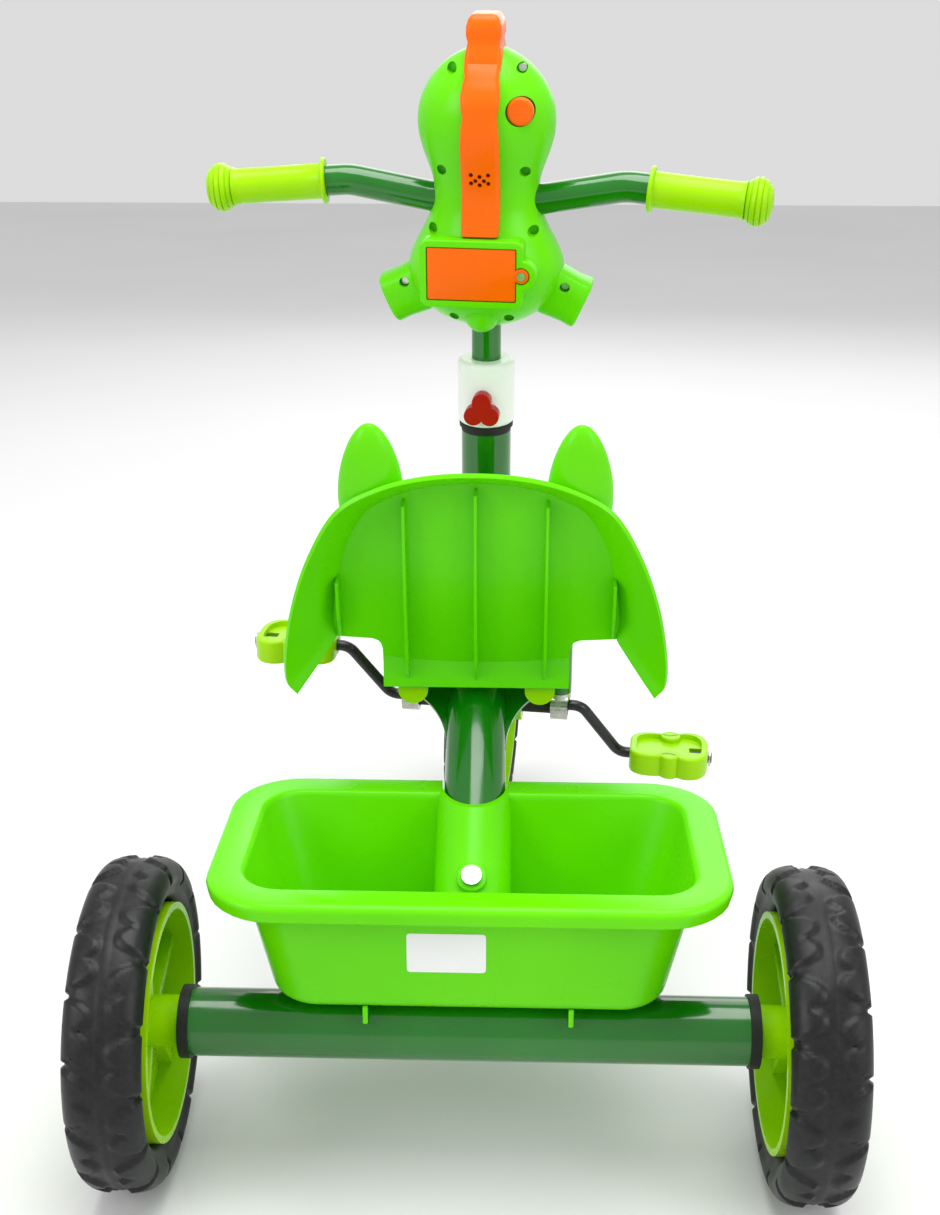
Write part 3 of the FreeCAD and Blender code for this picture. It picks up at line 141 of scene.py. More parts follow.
def modify(piece, kind, **settings):
    """Add a modifier with its settings and apply it."""
    activate(piece)
    modifier = piece.modifiers.new(kind.title(), kind)
    for key, value in settings.items():
        setattr(modifier, key, value)
    if kind == "SUBSURF":
        modifier.render_levels = modifier.levels
    bpy.ops.object.modifier_apply(modifier=modifier.name)
    return piece


def clean(piece, merge=0.00001):
    """Weld doubles and turn every face outwards."""
    pick(piece, "VERT", lambda vertex: True)
    bpy.ops.mesh.select_all(action="SELECT")
    bpy.ops.mesh.remove_doubles(threshold=merge)
    bpy.ops.mesh.normals_make_consistent(inside=False)
    leave()
    return piece


def join(pieces):
    """Join pieces into the first one."""
    activate(pieces[0])
    for piece in pieces:
        piece.select_set(True)
    bpy.ops.object.join()
    return pieces[0]


def settle(piece):
    """Put a piece's place, turn and size into its mesh."""
    activate(piece)
    bpy.ops.object.transform_apply(location=True, rotation=True, scale=True)
    return piece


def place(piece, matrix):
    """Move the mesh of a settled piece by a matrix."""
    settle(piece)
    piece.data.transform(matrix)
    if matrix.determinant() < 0:
        piece.data.flip_normals()
    return piece


def copy_of(piece, name, matrix):
    """A second piece with its own mesh, moved by a matrix."""
    twin = piece.copy()
    twin.data = piece.data.copy()
    twin.name = name
    bpy.context.scene.collection.objects.link(twin)
    return place(twin, matrix)


def carve(piece, cutter, operation="DIFFERENCE"):
    """Boolean with a cutter that is thrown away."""
    modify(piece, "BOOLEAN", object=cutter, operation=operation, solver="EXACT")
    bpy.data.objects.remove(cutter)
    return piece


def smooth(piece, angle=35):
    """Shade smooth, keeping edges sharper than the angle."""
    activate(piece)
    bpy.ops.object.shade_smooth_by_angle(angle=math.radians(angle))
    return piece


def hand_over(piece, name, finish, body, nodes=()):
    """Name a finished piece, give it its finish and its body, and hide what it stands for."""
    piece.name = name
    piece.data.name = name
    piece.data.materials.clear()
    piece.data.materials.append(finish)
    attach(piece, body)
    if nodes:
        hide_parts(*nodes)
    print(name, len(piece.data.polygons), "faces")
    return piece


mirror_x = Matrix.Scale(-1, 4, (1, 0, 0))

# %% [markdown]
# ## Finishes
# Four families cover the tricycle: injection-moulded polypropylene, which is waxy, lets a little
# light in and shows faint flow marks; stoved gloss paint on steel, with a fine orange-peel; black
# EVA foam; and small bright or black metal parts.  Each is one function with the few numbers that
# differ, because a family shares its structure and only changes colour and scale.  Patterns read
# object coordinates in metres, so they stay the same size on every piece.

# %% Node helpers
def new_finish(name):
    """A material with an empty node tree, its shader and its output."""
    finish = bpy.data.materials.new(name)
    finish.use_nodes = True
    tree = finish.node_tree
    tree.nodes.clear()
    output = tree.nodes.new("ShaderNodeOutputMaterial")
    shader = tree.nodes.new("ShaderNodeBsdfPrincipled")
    tree.links.new(shader.outputs["BSDF"], output.inputs["Surface"])
    return finish, tree, shader


def noise(tree, scale, detail=3.0, rough=0.5, stretch=(1, 1, 1)):
    """Noise in object coordinates; scale is in waves per metre."""
    coordinates = tree.nodes.new("ShaderNodeTexCoord")
    mapping = tree.nodes.new("ShaderNodeMapping")
    mapping.inputs["Scale"].default_value = stretch
    texture = tree.nodes.new("ShaderNodeTexNoise")
    texture.inputs["Scale"].default_value = scale
    texture.inputs["Detail"].default_value = detail
    texture.inputs["Roughness"].default_value = rough
    tree.links.new(coordinates.outputs["Object"], mapping.inputs["Vector"])
    tree.links.new(mapping.outputs["Vector"], texture.inputs["Vector"])
    return texture.outputs["Fac"]


def ramp(tree, source, low, high, start=0.3, end=0.7):
    """Spread a texture between two colours or two grey levels."""
    node = tree.nodes.new("ShaderNodeValToRGB")
    node.color_ramp.elements[0].position = start
    node.color_ramp.elements[1].position = end
    node.color_ramp.elements[0].color = (*low, 1)
    node.color_ramp.elements[1].color = (*high, 1)
    tree.links.new(source, node.inputs["Fac"])
    return node.outputs["Color"]


def grey(level):
    """A grey as three channels."""
    return (level, level, level)


def bump(tree, shader, source, strength, depth):
    """Bump of a texture; depth in metres."""
    node = tree.nodes.new("ShaderNodeBump")
    node.inputs["Strength"].default_value = strength
    node.inputs["Distance"].default_value = depth
    tree.links.new(source, node.inputs["Height"])
    tree.links.new(node.outputs["Normal"], shader.inputs["Normal"])


def worn_roughness(tree, shader, low, high, scale):
    """Roughness that drifts between two levels."""
    drift = ramp(tree, noise(tree, scale, 4.0), grey(low), grey(high))
    tree.links.new(drift, shader.inputs["Roughness"])


# %% Moulded plastic, gloss paint, foam and metal
def moulded(name, colour, deep, low=0.22, high=0.34, translucent=0.03):
    """Injection-moulded plastic: slight colour drift, flow marks and a waxy depth."""
    finish, tree, shader = new_finish(name)
    body = ramp(tree, noise(tree, 9.0, 2.0), deep, colour)
    tree.links.new(body, shader.inputs["Base Color"])
    worn_roughness(tree, shader, low, high, 24.0)
    bump(tree, shader, noise(tree, 900.0, 2.0), 0.12, 0.00012)
    shader.inputs["IOR"].default_value = 1.49
    shader.inputs["Specular IOR Level"].default_value = 0.20
    if translucent:
        shader.inputs["Subsurface Weight"].default_value = translucent
        shader.inputs["Subsurface Scale"].default_value = 0.004
        shader.inputs["Subsurface Radius"].default_value = (0.8, 1.0, 0.3)
    return finish


def painted(name, colour, deep, low=0.10, high=0.20):
    """Stoved gloss paint on steel tube, with a fine orange-peel and a clear top coat."""
    finish, tree, shader = new_finish(name)
    body = ramp(tree, noise(tree, 14.0, 2.0), deep, colour)
    tree.links.new(body, shader.inputs["Base Color"])
    worn_roughness(tree, shader, low, high, 60.0)
    bump(tree, shader, noise(tree, 420.0, 2.0), 0.10, 0.00015)
    shader.inputs["Coat Weight"].default_value = 0.35
    shader.inputs["Coat Roughness"].default_value = 0.05
    return finish


def foam(name):
    """Black EVA foam with a fine closed skin and a little dust in the grain."""
    finish, tree, shader = new_finish(name)
    body = ramp(tree, noise(tree, 300.0, 5.0, 0.65), (0.004, 0.004, 0.0045), (0.012, 0.012, 0.013))
    tree.links.new(body, shader.inputs["Base Color"])
    worn_roughness(tree, shader, 0.34, 0.52, 40.0)
    bump(tree, shader, noise(tree, 1600.0, 3.0), 0.25, 0.00015)
    shader.inputs["Specular IOR Level"].default_value = 0.30
    return finish


def metal(name, colour, low, high, metallic=1.0):
    """Plated or blackened metal with fine handling marks."""
    finish, tree, shader = new_finish(name)
    tone = ramp(tree, noise(tree, 120.0, 4.0), tuple(0.75 * c for c in colour), colour)
    tree.links.new(tone, shader.inputs["Base Color"])
    shader.inputs["Metallic"].default_value = metallic
    worn_roughness(tree, shader, low, high, 200.0)
    bump(tree, shader, noise(tree, 700.0, 3.0, 0.6, (1, 6, 1)), 0.15, 0.0001)
    return finish


# by material slot: name, bright and deep colour, then lowest and highest roughness
finishes = {
    "tyre": foam("black_foam"),
    "green_paint": painted("green_gloss_paint", (0.002, 0.165, 0.002), (0.001, 0.125, 0.001)),
    "lime_plastic": moulded("lime_plastic", (0.130, 0.66, 0.0), (0.108, 0.60, 0.0)),
    "yellow_green_plastic": moulded("yellow_green_plastic", (0.33, 0.66, 0.0), (0.29, 0.61, 0.0)),
    "orange_plastic": moulded("orange_plastic", (0.95, 0.135, 0.0), (0.88, 0.115, 0.0)),
    "black_plastic": moulded("black_plastic", grey(0.022), grey(0.014), 0.4, 0.55, 0),
    "white_plastic": moulded("white_plastic", (0.86, 0.86, 0.85), (0.80, 0.80, 0.79)),
    "red_plastic": moulded("red_plastic", (0.42, 0.003, 0.004), (0.34, 0.002, 0.003)),
    "black_steel": metal("black_steel", (0.02, 0.02, 0.022), 0.18, 0.3, 0.3),
    "zinc_steel": metal("zinc_plate", (0.66, 0.65, 0.61), 0.2, 0.34),
    "cell_jacket": moulded("cell_jacket", (0.04, 0.05, 0.09), (0.03, 0.035, 0.06), 0.15, 0.25, 0),
    "circuit_green": moulded("circuit_lacquer", (0.01, 0.16, 0.04), (0.008, 0.12, 0.03),
                             0.2, 0.3, 0),
    "speaker_black": moulded("speaker_paper", (0.03, 0.03, 0.033), (0.02, 0.02, 0.022),
                             0.6, 0.8, 0),
}
slots = {row["node"]: row["material_slot"] for row in frame["record"]["subparts"]}
for node_name, node in frame["nodes"].items():
    node.data.materials.clear()
    node.data.materials.append(finishes[slots[node_name]])
print(len(finishes), "finishes on", len(frame["nodes"]), "nodes")

# %% [markdown]
# ## Room, light and camera
# A pale seamless floor and large soft lamps give the even light of a product picture.  The camera
# stands behind the tricycle, a little right of its middle and as high as the child's head.

# %% Floor and lamps
def soft_lamp(name, at, target, size, power):
    """A square area lamp that looks at a target."""
    data = bpy.data.lights.new(name, "AREA")
    data.energy = power
    data.size = size
    lamp = bpy.data.objects.new(name, data)
    bpy.context.scene.collection.objects.link(lamp)
    lamp.location = at
    lamp.rotation_euler = (Vector(target) - Vector(at)).to_track_quat("-Z", "Y").to_euler()
    return lamp


FLOOR_SIZE = 12
LOOK_AT = (0, 0, 0.3)
# name, place and size in metres, power in watts
LAMPS = (("top_lamp", (0.1, -0.2, 2.4), 1.6, 44), ("left_lamp", (-1.9, -1.5, 1.4), 1.2, 20),
         ("right_lamp", (2.0, -1.3, 1.3), 1.2, 16), ("front_lamp", (0.3, 2.2, 1.6), 1.8, 18))
SKY_STRENGTH = 0.72

deselect()
bpy.ops.mesh.primitive_plane_add(size=FLOOR_SIZE, location=(0, 0, 0))
floor = bpy.context.object
floor.name = "floor"
floor_finish, floor_tree, floor_shader = new_finish("pale_floor")
floor_tone = ramp(floor_tree, noise(floor_tree, 1.5, 2.0), grey(0.70), grey(0.73))
floor_tree.links.new(floor_tone, floor_shader.inputs["Base Color"])
floor_shader.inputs["Roughness"].default_value = 0.6
floor.data.materials.append(floor_finish)
for name, at, size, power in LAMPS:
    soft_lamp(name, at, LOOK_AT, size, power)
world = bpy.data.worlds.new("studio")
world.use_nodes = True
sky = world.node_tree.nodes["Background"]
sky.inputs["Color"].default_value = (1, 1, 1, 1)
sky.inputs["Strength"].default_value = SKY_STRENGTH
bpy.context.scene.world = world
# the plain transform keeps the vivid plastics as saturated as they are
bpy.context.scene.view_settings.view_transform = "Standard"
print(len(LAMPS), "lamps over a floor of", FLOOR_SIZE, "m")

# %% Camera
CAMERA_BEHIND = 0.813
CAMERA_HEIGHT = 0.631
CAMERA_RIGHT = 0.0243
CAMERA_PITCH = math.radians(19.0)
CAMERA_YAW = math.radians(1.7)
CAMERA_ROLL = math.radians(0.1)
FOCAL_SHARE = 1632 / 1215
camera_data = bpy.data.cameras.new("camera")
camera_data.sensor_width = 36
camera_data.lens = FOCAL_SHARE * camera_data.sensor_width
camera_data.clip_start = 0.01
camera = bpy.data.objects.new("camera", camera_data)
bpy.context.scene.collection.objects.link(camera)
stand = Vector((CAMERA_RIGHT, rear_axle_y - CAMERA_BEHIND, CAMERA_HEIGHT))
camera.matrix_world = (Matrix.Translation(stand)
                       @ Matrix.Rotation(CAMERA_YAW, 4, "Z")
                       @ Matrix.Rotation(math.pi / 2 - CAMERA_PITCH, 4, "X")
                       @ Matrix.Rotation(CAMERA_ROLL, 4, "Z"))
bpy.context.scene.camera = camera
print("camera at", tuple(round(c, 3) for c in camera.location))

# %% [markdown]
# ## Tyres
# The tyre is one ring of black EVA foam.  Its cross-section is a rounded box, and the mould presses
# a tread of paired tongues into both shoulders, with a thin parting line round the middle.  A ring
# could be a torus with an image of the tread, but the tongues show in the outline, so the ring is
# spun finely and its skin is raised where the tongues are.

# %% Tread pattern
def ease(value):
    """Smooth step between 0 and 1."""
    value = min(max(value, 0.0), 1.0)
    return value * value * (3 - 2 * value)


TONGUE_AT = (0.28, 0.66)
TONGUE_HALF = 0.19


def tread(turn, across, tongues):
    """1 on a tongue and 0 in the groove; turn is in turns, across runs from -1 to 1."""
    phase = (turn * tongues + (0.5 if across < 0 else 0.0)) % 1.0
    off_tongue = min(abs(phase - at) for at in TONGUE_AT) / TONGUE_HALF
    edge = 0.17 + 0.42 * off_tongue ** 2
    return ease((abs(across) - edge) / 0.09)


# %% One tyre about the X axis
SECTION_POWER = 2.9
SPIN_STEPS = 320
SEAM_HALF, SEAM_SHARE = 0.035, 0.25


def make_tyre(radius, rim, width, tongues):
    """Spin a rounded section about X, then raise the tread and the parting line."""
    lug = 2.2 * MM
    half = width / 2 - lug
    depth = (radius - lug - rim) / 2
    middle = rim + depth
    deselect()
    bpy.ops.mesh.primitive_circle_add(vertices=64, radius=1, rotation=(math.pi / 2, 0, 0))
    ring = settle(bpy.context.object)
    for vertex in ring.data.vertices:
        x, z = vertex.co.x, vertex.co.z
        reach = (abs(x) ** SECTION_POWER + abs(z) ** SECTION_POWER) ** (-1 / SECTION_POWER)
        vertex.co = (x * reach * half, 0, middle + z * reach * depth)
    edit(ring)
    bpy.ops.mesh.select_all(action="SELECT")
    bpy.ops.mesh.spin(steps=SPIN_STEPS, angle=2 * math.pi, center=(0, 0, 0), axis=(1, 0, 0))
    clean(ring)
    normals = [vertex.normal.copy() for vertex in ring.data.vertices]
    for vertex, normal in zip(ring.data.vertices, normals):
        from_axis = math.hypot(vertex.co.y, vertex.co.z)
        across = vertex.co.x / half
        turn = math.atan2(vertex.co.y, vertex.co.z) / (2 * math.pi)
        near_rim = ease((from_axis - (radius - 0.66 * (radius - rim))) / (5 * MM))
        rise = tread(turn, across, tongues) * near_rim
        seam = SEAM_SHARE * ease(1 - abs(across) / SEAM_HALF) * near_rim
        vertex.co += normal * lug * max(rise, seam) * 0.98
    return smooth(ring, 50)


rear_low, rear_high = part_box("right_rear_tyre")
rear_radius = (rear_high.z - rear_low.z) / 2
rear_width = rear_high.x - rear_low.x
hub_low, hub_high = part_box("right_rear_hub")
rear_rim = (hub_high.z - hub_low.z) / 2
front_points = upright_points("front_tyre")
front_radius = max(math.hypot(p.y, p.z) for p in front_points)
front_rim = min(math.hypot(p.y, p.z) for p in front_points)
front_width = max(p.x for p in front_points) - min(p.x for p in front_points)
print("rear tyre", rear_radius, rear_width, "front tyre", front_radius, front_rim, front_width)

rear_tyre = make_tyre(rear_radius, rear_rim, rear_width, 15)
right_middle = Matrix.Translation(((rear_low.x + rear_high.x) / 2, rear_axle_y, rear_axle_z))
left_tyre = copy_of(rear_tyre, "left_tyre", mirror_x @ right_middle)
right_tyre = place(rear_tyre, right_middle)
hand_over(right_tyre, "right_rear_foam_tyre", finishes["tyre"], "right_rear_wheel",
          ["right_rear_tyre"])
hand_over(left_tyre, "left_rear_foam_tyre", finishes["tyre"], "left_rear_wheel",
          ["left_rear_tyre"])
front_tyre = place(make_tyre(front_radius, front_rim, front_width, 18), steering)
hand_over(front_tyre, "front_foam_tyre", finishes["tyre"], "front_wheel", ["front_tyre"])

# %% [markdown]
# ## A skin pulled from ring to ring
# The basket, the seat and the pedals are thin mouldings whose walls run out, over an edge and back.
# Each is modelled as one closed skin: a circle is laid on the first outline, then its edge is
# extruded and laid on the next outline, and so on round the wall.  Solidify would be quicker, but
# it can't give a rolled rim or a lip of another thickness.

# %% Rings and skins
def skin(name, rings, close_first=True, close_last=True):
    """Extrude a loop through the rings; every ring has the same number of points."""
    deselect()
    bpy.ops.mesh.primitive_circle_add(vertices=len(rings[0]), radius=1, fill_type="NOTHING")
    piece = bpy.context.object
    piece.name = name
    bpy.ops.object.mode_set(mode="EDIT")
    bpy.ops.mesh.select_mode(type="VERT")
    mesh = bmesh.from_edit_mesh(piece.data)
    order = mesh.verts.layers.int.new("order")
    mesh.verts.ensure_lookup_table()
    for number, vertex in enumerate(mesh.verts):
        vertex[order] = number
        vertex.co = rings[0][number]
    bmesh.update_edit_mesh(piece.data)
    bpy.ops.mesh.select_all(action="SELECT")
    if close_first:
        bpy.ops.mesh.duplicate()
        bpy.ops.mesh.edge_face_add()
        bpy.ops.mesh.select_all(action="INVERT")
    for ring in rings[1:]:
        bpy.ops.mesh.extrude_region()
        mesh = bmesh.from_edit_mesh(piece.data)
        order = mesh.verts.layers.int["order"]
        for vertex in mesh.verts:
            if vertex.select:
                vertex.co = ring[vertex[order]]
        bmesh.update_edit_mesh(piece.data)
    if close_last:
        bpy.ops.mesh.edge_face_add()
    bpy.ops.object.mode_set(mode="OBJECT")
    return clean(piece)


def rounded_ring(half_x, rear, front, corner, z, steps=8):
    """Points round a rectangle with quarter-round corners, at one level."""
    middles = [(half_x - corner, front - corner, 0), (-half_x + corner, front - corner, 90),
               (-half_x + corner, rear + corner, 180), (half_x - corner, rear + corner, 270)]
    points = []
    for x, y, start in middles:
        for step in range(steps + 1):
            angle = math.radians(start + 90 * step / steps)
            points.append(Vector((x + corner * math.cos(angle), y + corner * math.sin(angle), z)))
    return points


def smooth_rows(rows, each=5):
    """More pairs of numbers, on a smooth curve through the given ones."""
    out = []
    for i in range(len(rows) - 1):
        p0, p1, p2, p3 = (rows[min(max(i + k, 0), len(rows) - 1)] for k in (-1, 0, 1, 2))
        for step in range(each):
            t = step / each
            out.append([0.5 * (2 * p1[k] + (p2[k] - p0[k]) * t
                               + (2 * p0[k] - 5 * p1[k] + 4 * p2[k] - p3[k]) * t * t
                               + (3 * p1[k] - p0[k] - 3 * p2[k] + p3[k]) * t**3) for k in (0, 1)])
    return out + [list(rows[-1])]


def bar_between(start, end, radius, name="bar", sides=48):
    """A round bar from one point to another."""
    start, end = Vector(start), Vector(end)
    deselect()
    bpy.ops.mesh.primitive_cylinder_add(vertices=sides, radius=radius, depth=(end - start).length)
    bar = bpy.context.object
    bar.name = name
    turn = (end - start).to_track_quat("Z", "Y").to_matrix().to_4x4()
    return place(bar, Matrix.Translation((start + end) / 2) @ turn)


def block_between(low, high, name="block"):
    """A box between two corners."""
    low, high = Vector(low), Vector(high)
    deselect()
    bpy.ops.mesh.primitive_cube_add(size=1, location=(low + high) / 2, scale=high - low)
    block = bpy.context.object
    block.name = name
    return settle(block)


def round_edges(piece, width, segments=3, angle=40):
    """Bevel every edge sharper than the angle."""
    return modify(piece, "BEVEL", width=width, segments=segments, limit_method="ANGLE",
                  angle_limit=math.radians(angle), use_clamp_overlap=True)


# %% [markdown]
# ## Basket
# One thin polypropylene tub: tapered walls, a wide flat rim rolled down at its edge, and a ridge in
# the floor and front wall that clears the main tube.  A screw through a boss on that ridge holds
# it, and two small tabs hook behind the axle tube.

# %% Tub and rim
basket_low, basket_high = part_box("basket")
RIM_WIDTH = 19 * MM
RIM_DROP = 11 * MM
WALL = 2.6 * MM
TUB_CORNER = 26 * MM
TUB_HEIGHT = 78 * MM
SIDE_TAPER = 18 * MM
REAR_TAPER = 4 * MM
FRONT_TAPER = 12 * MM
rim_half = basket_high.x
rim_top = basket_high.z
tub_half = rim_half - RIM_WIDTH
tub_rear = basket_low.y + RIM_WIDTH
tub_front = basket_high.y - RIM_WIDTH
floor_level = rim_top - TUB_HEIGHT


def tub_ring(level, inset, grow=0.0):
    """Outline of the tub at a level above its floor, inset by a wall or grown as a rim."""
    share = min(level / TUB_HEIGHT, 1.0)
    half = tub_half - SIDE_TAPER * (1 - share) - inset + grow
    rear = tub_rear + REAR_TAPER * (1 - share) + inset - grow
    front = tub_front - FRONT_TAPER * (1 - share) - inset + grow
    corner = TUB_CORNER - inset + 0.8 * grow
    return rounded_ring(half, rear, front, corner, floor_level + level)


def quarter(steps, start=0, end=90):
    """Sine and cosine along an arc."""
    for step in range(steps + 1):
        angle = math.radians(start + (end - start) * step / steps)
        yield math.sin(angle), math.cos(angle)


def tub_rings():
    """From the inner floor up, over the rolled rim, and down the outside."""
    fillet = 8 * MM
    roll, inner_roll = 5 * MM, 2.4 * MM
    mouth = 3 * MM
    lip = 1 * MM
    rings = [tub_ring(WALL, WALL + fillet)]
    rings += [tub_ring(WALL + fillet * (1 - c), WALL + fillet * (1 - s)) for s, c in quarter(4)]
    rings += [tub_ring(TUB_HEIGHT - mouth * (1 - s), WALL - mouth * (1 - c)) for s, c in quarter(4)]
    out = RIM_WIDTH - roll
    rings += [tub_ring(TUB_HEIGHT - roll * (1 - c), 0, out + roll * s) for s, c in quarter(6)]
    drop = TUB_HEIGHT - RIM_DROP
    rings += [tub_ring(drop + lip, 0, RIM_WIDTH), tub_ring(drop, 0, RIM_WIDTH - 0.8 * lip),
              tub_ring(drop, 0, RIM_WIDTH - 1.8 * lip), tub_ring(drop + lip, 0, RIM_WIDTH - WALL)]
    rings += [tub_ring(TUB_HEIGHT - WALL - inner_roll * (1 - c), 0, out + inner_roll * s)
              for s, c in quarter(4, 90, 0)]
    rings += [tub_ring(TUB_HEIGHT - WALL - mouth * (1 - c), 0, mouth * (1 - s))
              for s, c in quarter(3)]
    rings += [tub_ring(fillet * (1 - s), fillet * (1 - c)) for s, c in quarter(5)]
    return rings


basket = skin("basket_tub", tub_rings())

# %% [markdown]
# The ridge is a round hood along the tube with straight sides.  It could be one more ring of the
# skin, but it slants, so it is added and hollowed with two booleans, cut off at the tub's outside.

# %% Ridge over the main tube, boss and tabs
TUBE_R = 19 * MM
TUBE_RISE = math.radians(40.4)
RIDGE_GAP = 1.5 * MM
SCREW_AHEAD = 62 * MM
BOSS_R, BOSS_FROM, BOSS_TO = 9 * MM, 2 * MM, 6.9 * MM
TAB_X, TAB_THICK, TAB_DROP = 58 * MM, 3 * MM, 9 * MM
SLACK = 0.2 * MM
ridge_out = Vector((0, -math.sin(TUBE_RISE), math.cos(TUBE_RISE)))


def tube_axis(y):
    """Centre of the main tube's lower run, ahead of the rear axle."""
    return Vector((0, rear_axle_y + y, rear_axle_z + y * math.tan(TUBE_RISE)))


def ridge_room(radius):
    """Round ridge along the tube with straight sides down from it."""
    start, end = tube_axis(-0.04), tube_axis(0.2)
    ridge = bar_between(start, end, radius, "ridge", 64)
    slab = block_between((-radius, start.y, -0.1), (radius, end.y, 0.5), "slab")
    cut(slab, start, ridge_out, clear_outer=True, use_fill=True)
    return carve(ridge, clean(slab), "UNION")


hood = ridge_room(TUBE_R + RIDGE_GAP + WALL)
outer_tub = skin("outer_tub", [tub_ring(SLACK, SLACK), tub_ring(TUB_HEIGHT - SLACK, SLACK)])
carve(hood, outer_tub, "INTERSECT")
carve(basket, hood, "UNION")
carve(basket, ridge_room(TUBE_R + RIDGE_GAP), "DIFFERENCE")
screw_at = tube_axis(SCREW_AHEAD) + ridge_out * TUBE_R
boss = bar_between(screw_at + ridge_out * BOSS_FROM, screw_at + ridge_out * BOSS_TO, BOSS_R, "boss")
round_edges(boss, 1 * MM)
foot = tub_rear + REAR_TAPER
tabs = [block_between((x - TAB_THICK / 2, foot, floor_level - TAB_DROP),
                      (x + TAB_THICK / 2, foot + WALL, floor_level + 2 * MM), "tab")
        for x in (-TAB_X, TAB_X)]
for tab in tabs:
    round_edges(tab, 0.8 * MM)
basket = join([basket, boss] + tabs)
hand_over(smooth(basket, 32), "moulded_basket", finishes["lime_plastic"], "frame",
          ["basket"])

# %% [markdown]
# ## Seat
# The back is a dished shell with a broad flange that runs out to a round rim, stiffened behind by
# five thin ribs.  Below it a tongue hides the ends of the rails.  The shell is laid out as a grid:
# every column starts on the lower edge, crosses the panel and runs out over the flange, so the
# wing tips come out of the same sheet.  Solidify then gives it the wall of the mould.

# %% Curves of the seat's back
SEAT_LEAN = math.radians(12.5)
SEAT_WALL = 2.8 * MM
FLANGE_DEPTH = 24.2 * MM
BULGE = 7 * MM
crease = Vector((0, rear_axle_y + 0.140, 0.285))
seat_place = Matrix.Translation(crease) @ Matrix.Rotation(SEAT_LEAN, 4, "X")
# each row: share of the way from the middle to the wing, x and height above the crease in mm
RIM_CURVE = ((0, 0, 124), (.15, 31, 121.5), (.3, 58, 113.5), (.45, 81, 99), (.6, 98, 70),
             (.75, 110, 36), (.88, 116.5, 2), (.95, 117, -20), (1, 111, -29))
PANEL_CURVE = ((0, 0, 108), (.15, 27, 106), (.3, 49, 99.5), (.45, 67, 88), (.6, 79, 66),
               (.75, 86, 38), (.88, 89, 14), (1, 87, 1))
LOWER_CURVE = ((0, 0, -36), (.15, 29, -36), (.29, 56, -36), (.31, 58, -34), (.36, 58, -6),
               (.38, 59.5, -2), (.42, 64, 0), (.6, 75, 0), (.75, 81, 0), (.88, 84.5, 0), (1, 86, 0))


def along(curve, share, rounded=True):
    """Point on a curve of (share, x, height) rows."""
    last = len(curve) - 2
    row = next((i for i in range(last + 1) if share <= curve[i + 1][0]), last)
    (a, *p), (b, *q) = curve[row], curve[row + 1]
    t = (share - a) / (b - a)
    if not rounded:
        return [u + (v - u) * t for u, v in zip(p, q)]

    def slope(i):
        """Slope at a row of the curve; level in the middle of the seat."""
        if i == 0:
            return [(curve[1][1] - curve[0][1]) / (curve[1][0] - curve[0][0]), 0]
        j = min(i + 1, last + 1)
        return [(curve[j][k] - curve[i - 1][k]) / (curve[j][0] - curve[i - 1][0]) for k in (1, 2)]

    m, n = slope(row), slope(row + 1)
    w = b - a
    return [(2 * t**3 - 3 * t**2 + 1) * p[k] + (t**3 - 2 * t**2 + t) * w * m[k]
            + (3 * t**2 - 2 * t**3) * q[k] + (t**3 - t**2) * w * n[k] for k in (0, 1)]


def panel_depth(x, height):
    """How far the panel stands to the rear; it bulges behind the rider's back."""
    across = max(0.0, 1 - (x / 92) ** 2)
    up = math.sin(math.pi * min(max((height + 36) / 144, 0), 1))
    return BULGE * across * up


# %% Sheet from the lower edge over the panel and the flange
COLUMNS = 140
PANEL_ROWS = 18
FLANGE_ROWS = 9


def seat_point(column, row):
    """Point of the sheet in the seat's own frame."""
    share = abs(2 * column / COLUMNS - 1)
    side = 1 if 2 * column > COLUMNS else -1
    lower = along(LOWER_CURVE, share, False)
    panel = along(PANEL_CURVE, share)
    rim = along(RIM_CURVE, share)
    if row <= PANEL_ROWS:
        t = row / PANEL_ROWS
        x, height = (a + (b - a) * t for a, b in zip(lower, panel))
        depth = panel_depth(x, height)
    else:
        t = (row - PANEL_ROWS) / FLANGE_ROWS
        x, height = (a + (b - a) * t for a, b in zip(panel, rim))
        depth = FLANGE_DEPTH * (t + 0.07 * math.sin(math.pi * t))
        depth += panel_depth(*panel) * (1 - t)
    return Vector((side * x * MM, -depth, height * MM))


deselect()
bpy.ops.mesh.primitive_grid_add(x_subdivisions=COLUMNS, y_subdivisions=PANEL_ROWS + FLANGE_ROWS)
seat_back = bpy.context.object
for vertex in seat_back.data.vertices:
    column = round((vertex.co.x + 1) / 2 * COLUMNS)
    row = round((vertex.co.y + 1) / 2 * (PANEL_ROWS + FLANGE_ROWS))
    vertex.co = seat_point(column, row)
edit(seat_back)
bpy.ops.mesh.select_all(action="SELECT")
bpy.ops.mesh.remove_doubles(threshold=0.0002)
bpy.ops.mesh.normals_make_consistent(inside=False)
leave()
middle_face = min(seat_back.data.polygons, key=lambda f: (f.center - Vector((0, 0, 0.05))).length)
if middle_face.normal.y < 0:
    seat_back.data.flip_normals()
modify(seat_back, "SOLIDIFY", thickness=SEAT_WALL, offset=-1, use_even_offset=True)
PLUG_X, PLUG_Z = 40 * MM, 0.246
NOTCH_R, NOTCH_REACH = 10.8 * MM, 0.03
for x in (-PLUG_X, PLUG_X):
    notch = bar_between((x, crease.y - NOTCH_REACH, PLUG_Z), (x, crease.y + NOTCH_REACH, PLUG_Z),
                        NOTCH_R)
    carve(seat_back, place(notch, seat_place.inverted()))
round_edges(seat_back, 1.1 * MM, 3, 60)

# %% [markdown]
# The ribs are thin grids that follow the panel's curve and get their thickness from Solidify.  Each
# ear is half a ball drawn tall, cut by a tilted plane so that nothing shows through the panel.

